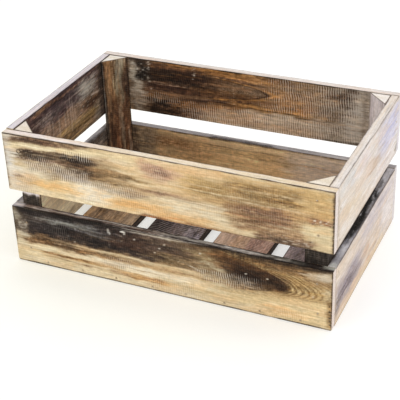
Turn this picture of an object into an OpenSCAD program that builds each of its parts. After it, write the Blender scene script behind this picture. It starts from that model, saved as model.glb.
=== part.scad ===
// Slatted wooden crate: four sides of two slats each, nailed to four
// triangular corner posts, with four base slats between the front and the back.
// Origin: centre of the footprint, on the surface the crate stands on.
// X runs along the length, Y towards the back, Z up. Millimetres.

/* [Overall] */
// Outside length of the crate, along X
crate_l = 400; // [390:5:480]
// Outside width of the crate, along Y
crate_w = 255; // [220:5:340]

/* [Side slats] */
// Thickness of the side slats
board_t = 10; // [9:0.5:12]
// Height of the lower slats
lower_h = 77; // [72:1:110]
// Open gap between the lower and the upper slats
gap_h = 22; // [10:1:40]
// Height of the upper slats
upper_h = 76; // [72:1:110]
// Radius worn onto the long edges of every slat
arris_r = 1.2; // [0.6:0.1:2]
// Radius worn onto the face corners of every slat
corner_r = 2.4; // [1:0.1:4]

/* [Corner posts] */
// Leg of the right-angled triangle that is the post's section
post_leg = 26; // [24:1:34]
// How far the post tops lie below the rim
post_drop = 0.6; // [0:0.1:3]
// Width of the blunt face worn onto each sharp edge of the posts
post_blunt = 0.8; // [0.4:0.1:1.5]

/* [Base slats] */
// Width of each base slat
base_w = 72; // [50:1:74]
// Thickness of the base slats
base_t = 9.7; // [8:0.1:12]
// Centre of the first base slat, along X
base_x1 = -134; // [-146:1:-122]
// Centre of the second base slat, along X
base_x2 = -41; // [-45:1:-35]
// Centre of the third base slat, along X
base_x3 = 49; // [44:1:56]
// Centre of the fourth base slat, along X
base_x4 = 140; // [132:1:146]

/* [Nails] */
// Diameter of the nail shank
nail_d = 1.5; // [1.2:0.1:2]
// Diameter of the nail head
nail_head_d = 2.4; // [2.2:0.1:4]
// Thickness of the nail head
nail_head_t = 0.8; // [0.5:0.1:1.2]
// Length of a nail, head included
nail_l = 24; // [18:1:24]
// How far each head is set below the wood
nail_sink = 0.3; // [0.1:0.1:0.6]
// Distance of the side slats' nails from the inner corner, along Y
side_nail_in = 9; // [7:0.5:9]
// Distance of each base nail from the middle of its base slat
base_nail_x = 24; // [15:1:24]

/* [Hidden] */

hx = crate_l / 2;              // half the outside length
hy = crate_w / 2;              // half the outside width
ix = hx - board_t;             // inner face of the end walls
iy = hy - board_t;             // inner face of the long walls
upper_z = lower_h + gap_h;     // bottom edge of the upper slats
rim_z = upper_z + upper_h;     // top of the rim
post_top = rim_z - post_drop;  // top of the corner posts
base_z = base_t / 2;           // height of the base nails
base_x = [base_x1, base_x2, base_x3, base_x4];

// Nails of the long walls: distance from the outside end of the slat, and
// height. They sit a little unevenly, as hand-set nails do.
front_lower_nails = [[-1, 18, 56], [-1, 20, 21], [1, 18, 58], [1, 16.5, 19.5]];
front_upper_nails = [[-1, 19, 54], [-1, 16.5, 22], [1, 20, 62], [1, 18, 20]];
back_lower_nails = [[-1, 19, 57], [-1, 18, 20], [1, 19, 55], [1, 17.5, 21]];
back_upper_nails = [[-1, 18, 60], [-1, 19, 21], [1, 19.5, 57], [1, 18, 19]];
// Heights of the end walls' nails, above the slat's bottom edge. They miss
// the long walls' nails inside the posts.
side_lower_nails = [30, 67];
side_upper_nails = [8, 46];

pale = "#e9dcc3";
tan = "#c9a878";
umber = "#8a6a48";
grey = "#b9a993";
steel = "#77726b";

// Rectangle with round corners, centred
module round_rect(w, h, r) {
    square([w - 2 * r, h], center = true);
    square([w, h - 2 * r], center = true);
    for (x = [-1, 1], y = [-1, 1])
        translate([x * (w / 2 - r), y * (h / 2 - r)]) circle(r = r, $fn = 32);
}

// A slat lying along X, centred: worn long edges, worn face corners
module slat(len, h, t) {
    intersection() {
        rotate([90, 0, 0]) translate([0, 0, -t])
            linear_extrude(height = 2 * t) round_rect(len, h, corner_r);
        rotate([90, 0, 90]) translate([0, 0, -len])
            linear_extrude(height = 2 * len) round_rect(t, h, arris_r);
    }
}

// A nail driven along +Z from the wood's face at z = 0
module nail() {
    r = nail_d / 2;
    rh = nail_head_d / 2;
    a = nail_sink;
    rotate_extrude($fn = 32)
        polygon([[0, a], [rh, a], [rh, a + nail_head_t], [r, a + nail_head_t],
                 [r, nail_l - 2.4], [0, nail_l]]);
}

// The hole that a nail leaves, open at the wood's face
module nail_hole() {
    r = nail_d / 2;
    rh = nail_head_d / 2;
    rotate_extrude($fn = 32)
        polygon([[0, -1], [rh, -1], [rh, nail_sink + nail_head_t],
                 [r, nail_sink + nail_head_t], [r, nail_l - 2.4], [0, nail_l]]);
}

// Places a nail in a long wall. side: -1 front, 1 back
module at_long(side, list, z0) {
    for (n = list)
        translate([n[0] * (hx - n[1]), side * hy, z0 + n[2]])
            rotate([side * 90, 0, 0]) children();
}

// Places a nail in an end wall. side: -1 left, 1 right
module at_end(side, heights, z0) {
    for (z = heights, y = [-1, 1])
        translate([side * hx, y * (iy - side_nail_in), z0 + z])
            rotate([0, -side * 90, 0]) children();
}

// Places the nails that hold the base slats, through the long walls
module at_base(side, xs) {
    for (x = xs, d = [-1, 1])
        translate([x + d * base_nail_x, side * hy, base_z])
            rotate([side * 90, 0, 0]) children();
}

// A long wall's slat
module long_slat(side, h, z0, list, holds_base) {
    difference() {
        translate([0, side * (hy - board_t / 2), z0 + h / 2])
            slat(crate_l, h, board_t);
        at_long(side, list, z0) nail_hole();
        if (holds_base) at_base(side, base_x) nail_hole();
    }
}

// An end wall's slat, between the two long walls
module end_slat(side, h, z0, heights) {
    difference() {
        translate([side * (hx - board_t / 2), 0, z0 + h / 2])
            rotate([0, 0, 90]) slat(2 * iy, h, board_t);
        at_end(side, heights, z0) nail_hole();
    }
}

// A corner post: the section is a right-angled triangle whose square corner
// sits in the crate's corner. sx, sy: which corner
module post(sx, sy, lower_list, upper_list) {
    p = post_leg;
    b = post_blunt;
    difference() {
        translate([sx * ix, sy * iy, base_t])
            linear_extrude(height = post_top - base_t)
                polygon([[0, 0], [-sx * p, 0], [-sx * p, -sy * b],
                         [-sx * b, -sy * p], [0, -sy * p]]);
        at_long(sy, lower_list, 0) nail_hole();
        at_long(sy, upper_list, upper_z) nail_hole();
        at_end(sx, side_lower_nails, 0) nail_hole();
        at_end(sx, side_upper_nails, upper_z) nail_hole();
    }
}

// A base slat, lying front to back between the long walls
module base_slat(x) {
    difference() {
        translate([x, 0, base_t / 2])
            intersection() {
                cube([base_w, 2 * iy, base_t], center = true);
                rotate([90, 0, 0]) translate([0, 0, -crate_w])
                    linear_extrude(height = 2 * crate_w)
                        round_rect(base_w, base_t, arris_r);
            }
        at_base(-1, [x]) nail_hole();
        at_base(1, [x]) nail_hole();
    }
}

module slat_front_lower() { color(tan) long_slat(-1, lower_h, 0, front_lower_nails, true); }
module slat_front_upper() { color(pale) long_slat(-1, upper_h, upper_z, front_upper_nails, false); }
module slat_back_lower() { color(tan) long_slat(1, lower_h, 0, back_lower_nails, true); }
module slat_back_upper() { color(umber) long_slat(1, upper_h, upper_z, back_upper_nails, false); }
module slat_left_lower() { color(umber) end_slat(-1, lower_h, 0, side_lower_nails); }
module slat_left_upper() { color(umber) end_slat(-1, upper_h, upper_z, side_upper_nails); }
module slat_right_lower() { color(pale) end_slat(1, lower_h, 0, side_lower_nails); }
module slat_right_upper() { color(pale) end_slat(1, upper_h, upper_z, side_upper_nails); }
module post_front_left() { color(grey) post(-1, -1, front_lower_nails, front_upper_nails); }
module post_front_right() { color(grey) post(1, -1, front_lower_nails, front_upper_nails); }
module post_back_left() { color(grey) post(-1, 1, back_lower_nails, back_upper_nails); }
module post_back_right() { color(grey) post(1, 1, back_lower_nails, back_upper_nails); }
module base_slat_1() { color(pale) base_slat(base_x1); }
module base_slat_2() { color(umber) base_slat(base_x2); }
module base_slat_3() { color(grey) base_slat(base_x3); }
module base_slat_4() { color(grey) base_slat(base_x4); }
module nails_front_lower() { color(steel) at_long(-1, front_lower_nails, 0) nail(); }
module nails_front_upper() { color(steel) at_long(-1, front_upper_nails, upper_z) nail(); }
module nails_back_lower() { color(steel) at_long(1, back_lower_nails, 0) nail(); }
module nails_back_upper() { color(steel) at_long(1, back_upper_nails, upper_z) nail(); }
module nails_left_lower() { color(steel) at_end(-1, side_lower_nails, 0) nail(); }
module nails_left_upper() { color(steel) at_end(-1, side_upper_nails, upper_z) nail(); }
module nails_right_lower() { color(steel) at_end(1, side_lower_nails, 0) nail(); }
module nails_right_upper() { color(steel) at_end(1, side_upper_nails, upper_z) nail(); }
module nails_base_front() { color(steel) at_base(-1, base_x) nail(); }
module nails_base_back() { color(steel) at_base(1, base_x) nail(); }

slat_front_lower();
slat_front_upper();
slat_back_lower();
slat_back_upper();
slat_left_lower();
slat_left_upper();
slat_right_lower();
slat_right_upper();
post_front_left();
post_front_right();
post_back_left();
post_back_right();
base_slat_1();
base_slat_2();
base_slat_3();
base_slat_4();
nails_front_lower();
nails_front_upper();
nails_back_lower();
nails_back_upper();
nails_left_lower();
nails_left_upper();
nails_right_lower();
nails_right_upper();
nails_base_front();
nails_base_back();
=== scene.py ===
import math

import bpy
import numpy as np
from mathutils import Matrix, Vector


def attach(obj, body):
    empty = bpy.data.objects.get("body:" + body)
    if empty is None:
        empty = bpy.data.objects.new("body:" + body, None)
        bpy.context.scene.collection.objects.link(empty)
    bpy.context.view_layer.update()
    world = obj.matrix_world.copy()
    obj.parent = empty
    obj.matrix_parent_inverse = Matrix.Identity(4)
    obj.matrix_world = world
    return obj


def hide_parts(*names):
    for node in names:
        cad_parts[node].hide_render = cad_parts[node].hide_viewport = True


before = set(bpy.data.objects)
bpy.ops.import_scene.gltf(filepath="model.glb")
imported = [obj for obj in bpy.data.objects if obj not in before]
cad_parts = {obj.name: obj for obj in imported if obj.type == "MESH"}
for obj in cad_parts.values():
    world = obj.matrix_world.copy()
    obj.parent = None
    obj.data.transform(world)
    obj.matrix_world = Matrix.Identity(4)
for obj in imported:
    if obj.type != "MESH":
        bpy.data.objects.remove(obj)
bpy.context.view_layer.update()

# ---------------------------------------------------------------- camera
MM = 0.001
CAM_POS = (474.14, -1034.37, 716.16)
CAM_AZ, CAM_EL, CAM_ROLL = 25.168, 30.130, -2.288
CAM_F = 1074.4          # focal length in pixels of a 400 px wide frame


def make_camera():
    az, el, roll = (math.radians(a) for a in (CAM_AZ, CAM_EL, CAM_ROLL))
    f = Vector((-math.sin(az) * math.cos(el), math.cos(az) * math.cos(el), -math.sin(el)))
    r = f.cross(Vector((0, 0, 1))).normalized()
    u = r.cross(f)
    r2 = r * math.cos(roll) + u * math.sin(roll)
    u2 = u * math.cos(roll) - r * math.sin(roll)
    m = Matrix((r2, u2, -f)).transposed().to_4x4()
    m.translation = Vector(CAM_POS) * MM
    data = bpy.data.cameras.new("view")
    data.sensor_fit = "HORIZONTAL"
    data.sensor_width = 36
    data.lens = CAM_F / 400 * 36
    data.clip_start, data.clip_end = 0.02, 60
    cam = bpy.data.objects.new("view", data)
    cam.matrix_world = m
    bpy.context.scene.collection.objects.link(cam)
    bpy.context.scene.camera = cam


make_camera()


# ---------------------------------------------------------------- small maths
def lin(text):
    """A colour written as hex display values, as linear numbers."""
    c = np.array([int(text[i:i + 2], 16) for i in (1, 3, 5)]) / 255
    return np.where(c <= 0.04045, c / 12.92, ((c + 0.055) / 1.055) ** 2.4)


def shown(text):
    return np.array([int(text[i:i + 2], 16) for i in (1, 3, 5)]) / 255


def to_lin(c):
    return np.where(c <= 0.04045, c / 12.92, ((np.maximum(c, 0) + 0.055) / 1.055) ** 2.4)


def ss(x):
    x = np.clip(x, 0, 1)
    return x * x * (3 - 2 * x)


def _hash(ix, iy, seed):
    n = (ix * 374761393 + iy * 668265263 + seed * 974634777) & 0xFFFFFFFF
    n = ((n ^ (n >> 13)) * 1274126177) & 0xFFFFFFFF
    n = ((n ^ (n >> 15)) * 2246822519) & 0xFFFFFFFF
    return ((n ^ (n >> 16)) & 0xFFFF) / 65535.0


def noise(x, y, seed):
    xf, yf = np.floor(x), np.floor(y)
    ix, iy = xf.astype(np.int64), yf.astype(np.int64)
    fx, fy = ss(x - xf), ss(y - yf)
    a = _hash(ix, iy, seed) * (1 - fx) + _hash(ix + 1, iy, seed) * fx
    b = _hash(ix, iy + 1, seed) * (1 - fx) + _hash(ix + 1, iy + 1, seed) * fx
    return a * (1 - fy) + b * fy


def fbm(x, y, seed, n=3):
    total, amp, norm = 0.0, 0.5, 0.0
    for k in range(n):
        total = total + amp * noise(x * 2 ** k, y * 2 ** k, seed + 17 * k)
        norm += amp
        amp *= 0.6
    return total / norm


# ---------------------------------------------------------------- paint
class Face:
    """Strokes on one face of a board. u runs along the grain and
    v across it, in millimetres. Strokes are laid one over the other."""

    def __init__(self, u, v, seed, base):
        self.u, self.v, self.seed = u, v, seed
        self.g = fbm(u / 26, v / 2.4, seed, 3)
        self.k = fbm(u / 8, v / 1.2, seed + 3, 2)
        self.m = fbm(u / 40, v / 6, seed + 5, 3)
        self.i = fbm(u / 3.2, v / 2.4, seed + 9, 3)
        self.wu = fbm(u / 15, v / 5, seed + 11, 3) - 0.5
        self.wv = fbm(u / 18, v / 6, seed + 13, 3) - 0.5
        self.c = np.tile(shown(base), (len(u), 1))
        z = np.zeros(len(u))
        self.saw, self.wash, self.ring, self.ring_k = z.copy(), z.copy(), v / 3.2 + 0.8 * self.m, z.copy() + 0.3
        self.dent = z.copy()
        # painted light: gain brightens the whole face's colour to make up for the shade that falls on faces inside
        # the crate and in the gaps
        self.gain = 1.0

    def shape(self, u0, u1, v0, v1, fu=None, fv=None, tilt=0.0, bow=0.0, rag=0.5):
        um, half = (u0 + u1) / 2, max((u1 - u0) / 2, 1e-6)
        fu = 1.25 * fu if fu else float(np.clip(0.35 * (u1 - u0), 5, 45))
        fv = 1.1 * fv if fv else float(np.clip(0.5 * (v1 - v0), 1.5, 11))
        u = self.u + self.wu * min(fu * 1.6, 34)
        k = (self.u - um) / half
        v = self.v - tilt * (self.u - um) - bow * (1 - np.clip(k * k, 0, 1.5)) + self.wv * min(fv * 1.7, 10)

        def edge(d, f):
            return 1 / (1 + np.exp(-np.clip(d / f * 5.0, -30, 30)))

        w = edge(u - u0, fu) * edge(u1 - u, fu) * edge(v - v0, fv) * edge(v1 - v, fv)
        peak = (1 / (1 + math.exp(-min(half / fu * 5, 30)))) ** 2 * (1 / (1 + math.exp(-min((v1 - v0) / 2 / fv * 5, 30)))) ** 2
        return self.rough(np.clip(w / peak, 0, 1), rag)

    def rough(self, w, rag):
        """Soft edges break up into streaks along the grain."""
        if rag:
            n = 0.9 * (self.g - 0.5) + 0.8 * (self.k - 0.5) + 1.1 * (self.i - 0.5)
            w = np.clip(w + rag * 5.0 * n * w * (1 - w), 0, 1)
            holes = ss((0.4 * self.k + 0.6 * self.i - 0.46) * 5)
            w = w * (1 - 0.35 * rag * holes)
        return w

    def streaks(self, seed, n, u0, u1, v0, v1, cols, a=(0.25, 0.6), ln=(24, 90), th=(0.5, 1.1), tilt=0.0):
        """Thin lines that run with the grain."""
        rng = np.random.default_rng(seed)
        bent = self.v + 3.0 * self.wv
        for _ in range(n):
            uc, vc = rng.uniform(u0, u1), rng.uniform(v0, v1)
            half, t = rng.uniform(*ln) / 2, rng.uniform(*th)
            w = np.exp(-((bent - vc - tilt * (self.u - uc)) / t) ** 2 - np.minimum(((self.u - uc) / half) ** 4, 40))
            self.over(np.clip(w * (0.1 + 1.4 * self.i), 0, 1), cols[rng.integers(len(cols))], 0.8 * rng.uniform(*a))

    def specks(self, seed, n, u0, u1, v0, v1, cols, a=0.7, r=0.7):
        """Small bare spots where the burnt skin has come off."""
        rng = np.random.default_rng(seed)
        for _ in range(n):
            self.spot(cols[rng.integers(len(cols))], a * rng.uniform(0.5, 1.0), rng.uniform(u0, u1),
                      rng.uniform(v0, v1), r * rng.uniform(0.7, 1.6), r * rng.uniform(0.7, 1.4), soft=0.9)

    def rings(self, ut, vt, length, up, down, period, reach, dark, pale, a, back):
        """Alternate brown and pale growth lines round a flame's tip."""
        dv = self.v - vt + 1.6 * self.wv
        d = (self.u - ut) + length * (dv / np.where(dv < 0, up, down)) ** 2 + 3 * self.wu
        on = np.exp(-np.maximum(d, 0) / reach) * ss(0.5 + d / 3.0) * ss((self.u - back) / 40)
        on = on * (1 - 0.6 * ss(dv / 12))
        wave = np.where(d > 0, np.cos(2 * np.pi * (np.maximum(d, 0) / period) ** 0.95), 1)
        rough = 0.45 + 1.1 * self.i
        self.over(np.clip(on * ss(wave * 0.8) * rough, 0, 1), dark, a)
        self.over(np.clip(on * ss(-wave * 0.8) * rough, 0, 1), pale, 0.8 * a)

    def light(self):
        return self.c @ np.array([0.3, 0.59, 0.11])

    def settle(self, cols=("#efe3c8", "#dbb07e"), hue=0.26, grain=0.2, dust=0.4):
        """Last pass over a face: small drifts of colour, streaky grain, and a
        little grey dust where the wood is burnt."""
        bright = ss((self.light() - 0.42) * 3)
        for k, col in enumerate(cols):
            d = fbm(self.u / 30, self.v / 6.5, self.seed + 21 + 4 * k, 3)
            self.over(ss((d - 0.50) * 5) * (0.25 + 0.75 * bright), col, hue)
        n = 0.8 * (self.g - 0.5) + 0.8 * (self.k - 0.5) + 0.9 * (self.i - 0.5)
        deep = 0.5 + 1.6 * (1 - ss((self.light() - 0.25) * 2.0))
        self.c = np.clip(self.c * np.exp(grain * 1.7 * n * deep)[:, None], 0, 1)
        self.wash = np.maximum(self.wash, dust * (1 - ss((self.light() - 0.22) * 4)))

    def over(self, w, col, a):
        w = (w * a)[:, None]
        self.c = self.c * (1 - w) + shown(col) * w

    def st(self, col, a, u0, u1, v0, v1, **k):
        self.over(self.shape(u0, u1, v0, v1, **k), col, a)

    def many(self, rows):
        for row in rows:
            self.st(*row[:6], **(row[6] if len(row) > 6 else {}))

    def spot(self, col, a, u0, v0, ru, rv=None, soft=0.5, rag=0.0):
        rv = rv or ru
        d = np.hypot((self.u - u0) / ru, (self.v - v0) / rv)
        self.over(self.rough(ss((1 + soft / 2 - d) / soft), rag), col, a)

    def loop(self, col, a, u0, v0, r, width, squash=1.0):
        d = np.abs(np.hypot(self.u - u0, (self.v - v0) / squash) - r + 2.0 * self.wu)
        self.over(self.rough(ss(1.2 - d / width), 0.6), col, a)

    def add_saw(self, k, u0, u1, v0, v1, **o):
        o.setdefault("rag", 0.25)
        self.saw = np.maximum(self.saw, k * self.shape(u0, u1, v0, v1, **o))

    def add_wash(self, k, u0, u1, v0, v1, **o):
        self.wash = np.maximum(self.wash, k * self.shape(u0, u1, v0, v1, **o))

    def flame(self, ut, vt, length, up, down, core, halo, edge, period=8.0, reach=40.0, a=1.0, back=None):
        """The pointed figure where the growth rings run out: tip at (ut, vt),
        opening towards smaller u. Rings follow it outside."""
        dv = self.v - vt + 2.0 * self.wv
        hh = np.where(dv < 0, up, down)
        d = (self.u - ut) + length * (dv / hh) ** 2 + 6 * self.wu
        behind = np.ones(len(d)) if back is None else ss((self.u - back) / 50)
        inside = ss(0.5 - d / 7.0) * behind
        near = np.exp(-np.maximum(d, 0) / reach) * (1 - ss(0.5 - d / 7.0)) * behind
        wave = 0.5 + 0.5 * np.cos(2 * np.pi * d / period)
        self.over(near * a, halo, 0.75)
        self.over(near * wave ** 3 * (0.4 + self.k), edge, 0.5 * a)
        self.over(self.rough(inside, 0.5) * a, core, 0.9)
        fig = ss(np.clip(inside + 1.4 * near, 0, 1))
        self.ring = self.ring * (1 - fig) + (1.55 * d / period) * fig
        self.ring_k = np.maximum(self.ring_k, 1.1 * fig)
        return d


def weathered(f, length, height, seed, dark=0.5):
    """A plausible torched and rubbed board, where the photo doesn't reach."""
    rng = np.random.default_rng(seed)
    tones = ["#cfae7c", "#e3d3b2", "#d8bc90", "#b9986a", "#e8dcc6", "#c49a66"]
    for _ in range(9):
        u0 = rng.uniform(-40, length - 30)
        w = rng.uniform(60, 190)
        v0 = rng.uniform(-4, height - 6)
        f.st(tones[rng.integers(len(tones))], 0.7, u0, u0 + w, v0, v0 + rng.uniform(6, 22),
             fu=24, fv=7, tilt=rng.uniform(-0.04, 0.04), rag=0.5)
    if rng.random() < 0.8:
        ut = rng.uniform(0.45, 0.9) * length
        vt = rng.uniform(0.35, 0.6) * height
        f.flame(ut, vt, rng.uniform(50, 90), rng.uniform(14, 22), rng.uniform(12, 20),
                "#5d442c", "#a98558", "#8a683f", period=rng.uniform(6, 9), a=0.85, back=ut - 120)
    for _ in range(int(2 + 5 * dark)):
        u0 = rng.uniform(-30, length - 40)
        w = rng.uniform(40, 150)
        v0 = rng.uniform(-6, height - 12)
        h = rng.uniform(8, 26)
        f.st("#7a6148", 0.75, u0 - 10, u0 + w + 16, v0 - 2, v0 + h + 3, fu=30, fv=8, rag=0.6)
        f.st("#4c3a2c", 0.75, u0, u0 + w, v0 + 1, v0 + h * 0.8, fu=26, fv=6, rag=0.6)
        if rng.random() < 0.7:
            f.st("#9a9184", 0.4, u0 + 0.2 * w, u0 + 0.7 * w, v0 + h * 0.2, v0 + h * 0.6, fu=18, fv=5, rag=0.7)
        f.add_saw(0.3, u0, u0 + w * 0.8, v0 + h * 0.4, v0 + h + 8, fu=20, fv=5)
    f.add_saw(0.08, -10, length + 10, -5, height + 5, fu=20)
    f.st("#8d6a42", 0.55, 0, length, height * 0.8, height * 0.84, fu=30, rag=0.6)
    f.st("#4a3828", 0.6, -5, length + 5, height - 1.4, height + 3, fv=1.5, rag=0.5)
    f.st("#4a3828", 0.5, -5, length + 5, -3, 1.2, fv=1.5, rag=0.55)


# Each painter gets a Face whose u, v are the coordinates named in its comment.
def front_upper(f):
    # u from the left end, v down from the rim
    f.many([
        ("#e0cba2", 0.8, -10, 410, -5, 80, dict(rag=0.3)),
        ("#ded6c9", 0.97, -10, 18, -5, 80, dict(fu=14)),
        ("#cfcac4", 0.6, -8, 9, 18, 48, dict(fu=5, fv=8)),
        ("#dcc39a", 0.7, 120, 400, 0, 76, dict(fu=40, rag=0.6)),
        ("#c6a676", 0.85, 226, 364, 8, 68, dict(fv=10, fu=24, rag=0.6)),
        ("#e9d5a9", 0.9, 12, 240, 6, 13, dict(tilt=-0.035, fv=5)),
        ("#e7cda0", 0.7, 120, 330, 1, 10, dict(fv=4, fu=30)),
        ("#e4b680", 0.65, 196, 300, 3, 12, dict(fv=6, fu=40)),
        ("#dfbe8e", 0.6, 150, 260, 14, 32, dict(fv=8, fu=40)),
        # the brown smudge along the rim
        ("#6b523c", 0.85, 6, 112, 0.5, 8.5, dict(fv=3, fu=22, tilt=-0.05)),
        ("#4a3326", 0.95, 14, 68, 2.0, 7.6, dict(fv=2.2, fu=10, tilt=-0.03, rag=0.7)),
        # the main burnt streak
        ("#b0946c", 0.7, 26, 150, 15, 42, dict(fv=6, fu=18, tilt=0.02)),
        ("#6f5540", 0.95, 22, 122, 16, 33, dict(fv=4, fu=10, tilt=0.0, rag=0.6)),
        ("#3c2c21", 0.97, 18, 70, 18, 30, dict(fv=4, fu=10, rag=0.7)),
        ("#3f2f23", 0.97, 62, 116, 14, 28, dict(fv=4, fu=10, tilt=-0.02, rag=0.7)),
        ("#261b14", 0.95, 26, 56, 19.5, 26.5, dict(fv=3, fu=8, rag=0.6)),
        ("#261b14", 0.95, 78, 112, 15, 23.5, dict(fv=3, fu=8, rag=0.6)),
        ("#7b5f49", 0.8, 50, 84, 26, 33, dict(fv=4, fu=10)),
        ("#3f2d20", 0.95, 84, 126, 24, 40, dict(fv=5, fu=10, tilt=0.12, rag=0.6)),
        ("#e9d6ae", 0.85, 12, 160, 8.5, 13, dict(fv=3.5, fu=24, tilt=-0.055, rag=0.3)),
        ("#7d6142", 0.9, 112, 168, 26, 36, dict(fv=6, fu=18, tilt=0.04)),
        ("#6f5537", 0.85, 110, 160, 38, 42, dict(fv=3, fu=18, tilt=0.02)),
        ("#7d6340", 0.8, 136, 190, 30, 33, dict(fv=2.5, fu=16)),
        ("#9a8058", 0.6, 150, 205, 38, 44, dict(fv=4, fu=20)),
        ("#8f7658", 0.7, 118, 142, 12, 22, dict(fv=6, fu=12)),
        # rubbed, sawn patches
        ("#ab9a86", 0.85, 30, 62, 31, 44, dict(fv=6, fu=14, rag=0.4)),
        ("#94826f", 0.88, 62, 114, 34, 48, dict(fv=5, fu=14, tilt=0.08, rag=0.4)),
        ("#a3927e", 0.75, 116, 180, 44, 56, dict(fv=5, fu=16, tilt=0.03, rag=0.4)),
        ("#927652", 0.7, 52, 86, 46, 52, dict(fv=4, fu=14)),
        ("#efe5d2", 0.9, 86, 142, 50, 72, dict(fv=8, fu=18)),
        ("#e9dfcb", 0.6, 5, 60, 42, 52, dict(fv=6, fu=18)),
        ("#e3bd86", 0.85, 16, 96, 54, 66, dict(fv=7, fu=20, tilt=0.03)),
        ("#dfae6e", 0.6, 28, 84, 57, 63, dict(fv=5, fu=16)),
        ("#e8d5b4", 0.6, -5, 60, 66, 76, dict(fv=5)),
        ("#d6bda2", 0.5, 4, 38, 48, 72, dict(fv=6, rag=0.2)),
        ("#8a6c50", 0.55, 8, 22, 54, 57, dict(fv=2)),
        # middle
        ("#e9ddc3", 0.75, 196, 292, 42, 66, dict(fv=10, fu=30)),
        ("#e6c08a", 0.85, 128, 214, 57, 74, dict(fv=7, fu=20)),
        ("#dba666", 0.7, 142, 200, 61, 68, dict(fv=5, fu=16)),
        ("#dcae76", 0.7, 180, 264, 66, 76, dict(fv=5, fu=20)),
        ("#bd947a", 0.8, 178, 220, 6, 25, dict(fv=8, fu=14, rag=0.7)),
        ("#96735f", 0.6, 184, 212, 9, 21, dict(fv=6, fu=10, rag=0.8)),
        ("#ad8672", 0.5, 176, 236, 39, 45, dict(fv=4, fu=20, rag=0.7)),
        ("#94755f", 0.5, 182, 226, 41, 43, dict(fv=2, fu=14)),
        ("#b08f6c", 0.5, 150, 182, 46, 52, dict(fv=4, fu=10)),
        ("#b0925f", 0.8, 236, 290, 14, 36, dict(fv=9, fu=16, rag=0.7)),
        ("#9a7d4f", 0.75, 244, 280, 20, 31, dict(fv=6, fu=12, rag=0.7)),
        ("#c9a779", 0.5, 215, 300, 30, 40, dict(fv=6, fu=30)),
        # right part
        ("#a98a60", 0.9, 276, 360, 8, 64, dict(fv=9, fu=18, rag=0.6)),
        ("#ab8c5c", 0.9, 276, 362, 8, 39, dict(fv=10, fu=22, rag=0.6)),
        ("#8d6f43", 0.85, 300, 358, 12, 22, dict(fv=6, fu=14, rag=0.6)),
        ("#93744a", 0.85, 282, 356, 19, 32, dict(fv=7, fu=14, rag=0.6)),
        ("#7d5f3a", 0.6, 322, 356, 16, 29, dict(fv=6, fu=10, rag=0.7)),
        ("#9c7957", 0.9, 276, 355, 34, 53, dict(fv=8, fu=18, rag=0.6)),
        ("#785642", 0.85, 292, 354, 36, 47, dict(fv=6, fu=14, rag=0.7)),
        ("#6c4a36", 0.85, 296, 346, 49.5, 55.5, dict(fv=4, fu=14, rag=0.6)),
        ("#8d6c50", 0.85, 286, 362, 54, 68, dict(fv=6, fu=16, rag=0.6)),
        ("#e3d5b6", 0.6, 256, 290, 58, 70, dict(fv=6, fu=16)),
        ("#c5a36e", 0.9, 360, 400, 3, 36, dict(fv=6, fu=12)),
        ("#b08c5f", 0.8, 350, 386, 30, 46, dict(fv=6, fu=12)),
        ("#dccaa2", 0.7, 362, 398, 47, 66, dict(fv=6, fu=14)),
        ("#c7a674", 0.5, 350, 392, 16, 20, dict(fv=4, fu=16)),
        ("#7e5c42", 0.75, 374, 400, 36, 43, dict(fv=3, fu=8)),
        # bottom edge
        ("#6a4630", 0.75, 178, 208, 73, 77, dict(fv=3, fu=8)),
        ("#724e33", 0.8, 232, 266, 72, 77, dict(fv=3, fu=8)),
        ("#9a7450", 0.7, 200, 300, 73, 77, dict(fv=3, fu=20)),
        ("#8b6f55", 0.75, 318, 380, 62, 70, dict(fv=5, fu=12)),
        ("#523c2f", 0.85, 316, 378, 68, 76, dict(fv=3, fu=10, rag=0.7)),
        ("#5a4232", 0.7, 270, 400, 74.3, 77, dict(fv=1.6, fu=14)),
        # edges
        ("#33271f", 0.92, -2, 112, -2, 1.5, dict(fv=1.0, fu=6, rag=0.3)),
        ("#3c2e24", 0.85, 108, 402, -2, 0.9, dict(fv=0.8, rag=0.4)),
        ("#3f3025", 0.8, 330, 402, -2, 1.5, dict(fv=1.2)),
        ("#3a2c21", 0.85, 397.6, 404, -2, 80, dict(fu=1.5, rag=0.4)),
        ("#6b5a46", 0.6, -5, 2.0, 4, 80, dict(fu=2.0, rag=0.5)),
    ])
    f.specks(118, 46, 374, 397, 36, 43, ["#f4ead8", "#8a6146", "#e9dcc6", "#6b4936"], a=0.85, r=0.9)
    for u, v, w in ((352, 69.5, 4), (361, 67, 3), (345, 71.5, 3.5), (368, 69, 3), (357, 72.5, 4), (371, 71.5, 2)):
        f.spot("#c9bbaa", 0.65, u, v, w, 0.8, rag=0.5)
    f.specks(128, 40, 328, 378, 64, 76, ["#3a2a20", "#c3b4a2", "#8d6f58"], a=0.7, r=0.8)
    f.loop("#33281f", 0.7, 20.0, 22.0, 2.0, 1.0)
    f.spot("#f1e6cf", 0.85, 20.0, 22.0, 1.2)
    f.spot("#4f3c2d", 0.6, 352, 27.5, 2.5, 0.8, rag=0.4)
    f.st("#c9bfb4", 0.6, 78, 112, 43, 48, fu=10, fv=3, rag=0.6)
    f.streaks(119, 60, 276, 360, 8, 66, ["#7d6042", "#6b4f3a", "#c3a87c", "#8f7150"], a=(0.25, 0.5), ln=(6, 26), th=(0.5, 1.0))
    f.streaks(111, 26, 110, 300, 24, 58, ["#8a6c48", "#a5875e", "#7b5d40", "#b79060"], a=(0.3, 0.65), ln=(20, 90), tilt=0.01)
    f.streaks(112, 30, 280, 364, 10, 64, ["#7d5f42", "#6f523a", "#93744c", "#e2cfa6"], a=(0.3, 0.65), ln=(14, 60))
    f.streaks(113, 26, 20, 400, 2, 74, ["#f0e4c8", "#ead7ad", "#f2e9d4"], a=(0.3, 0.6), ln=(30, 110))
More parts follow.
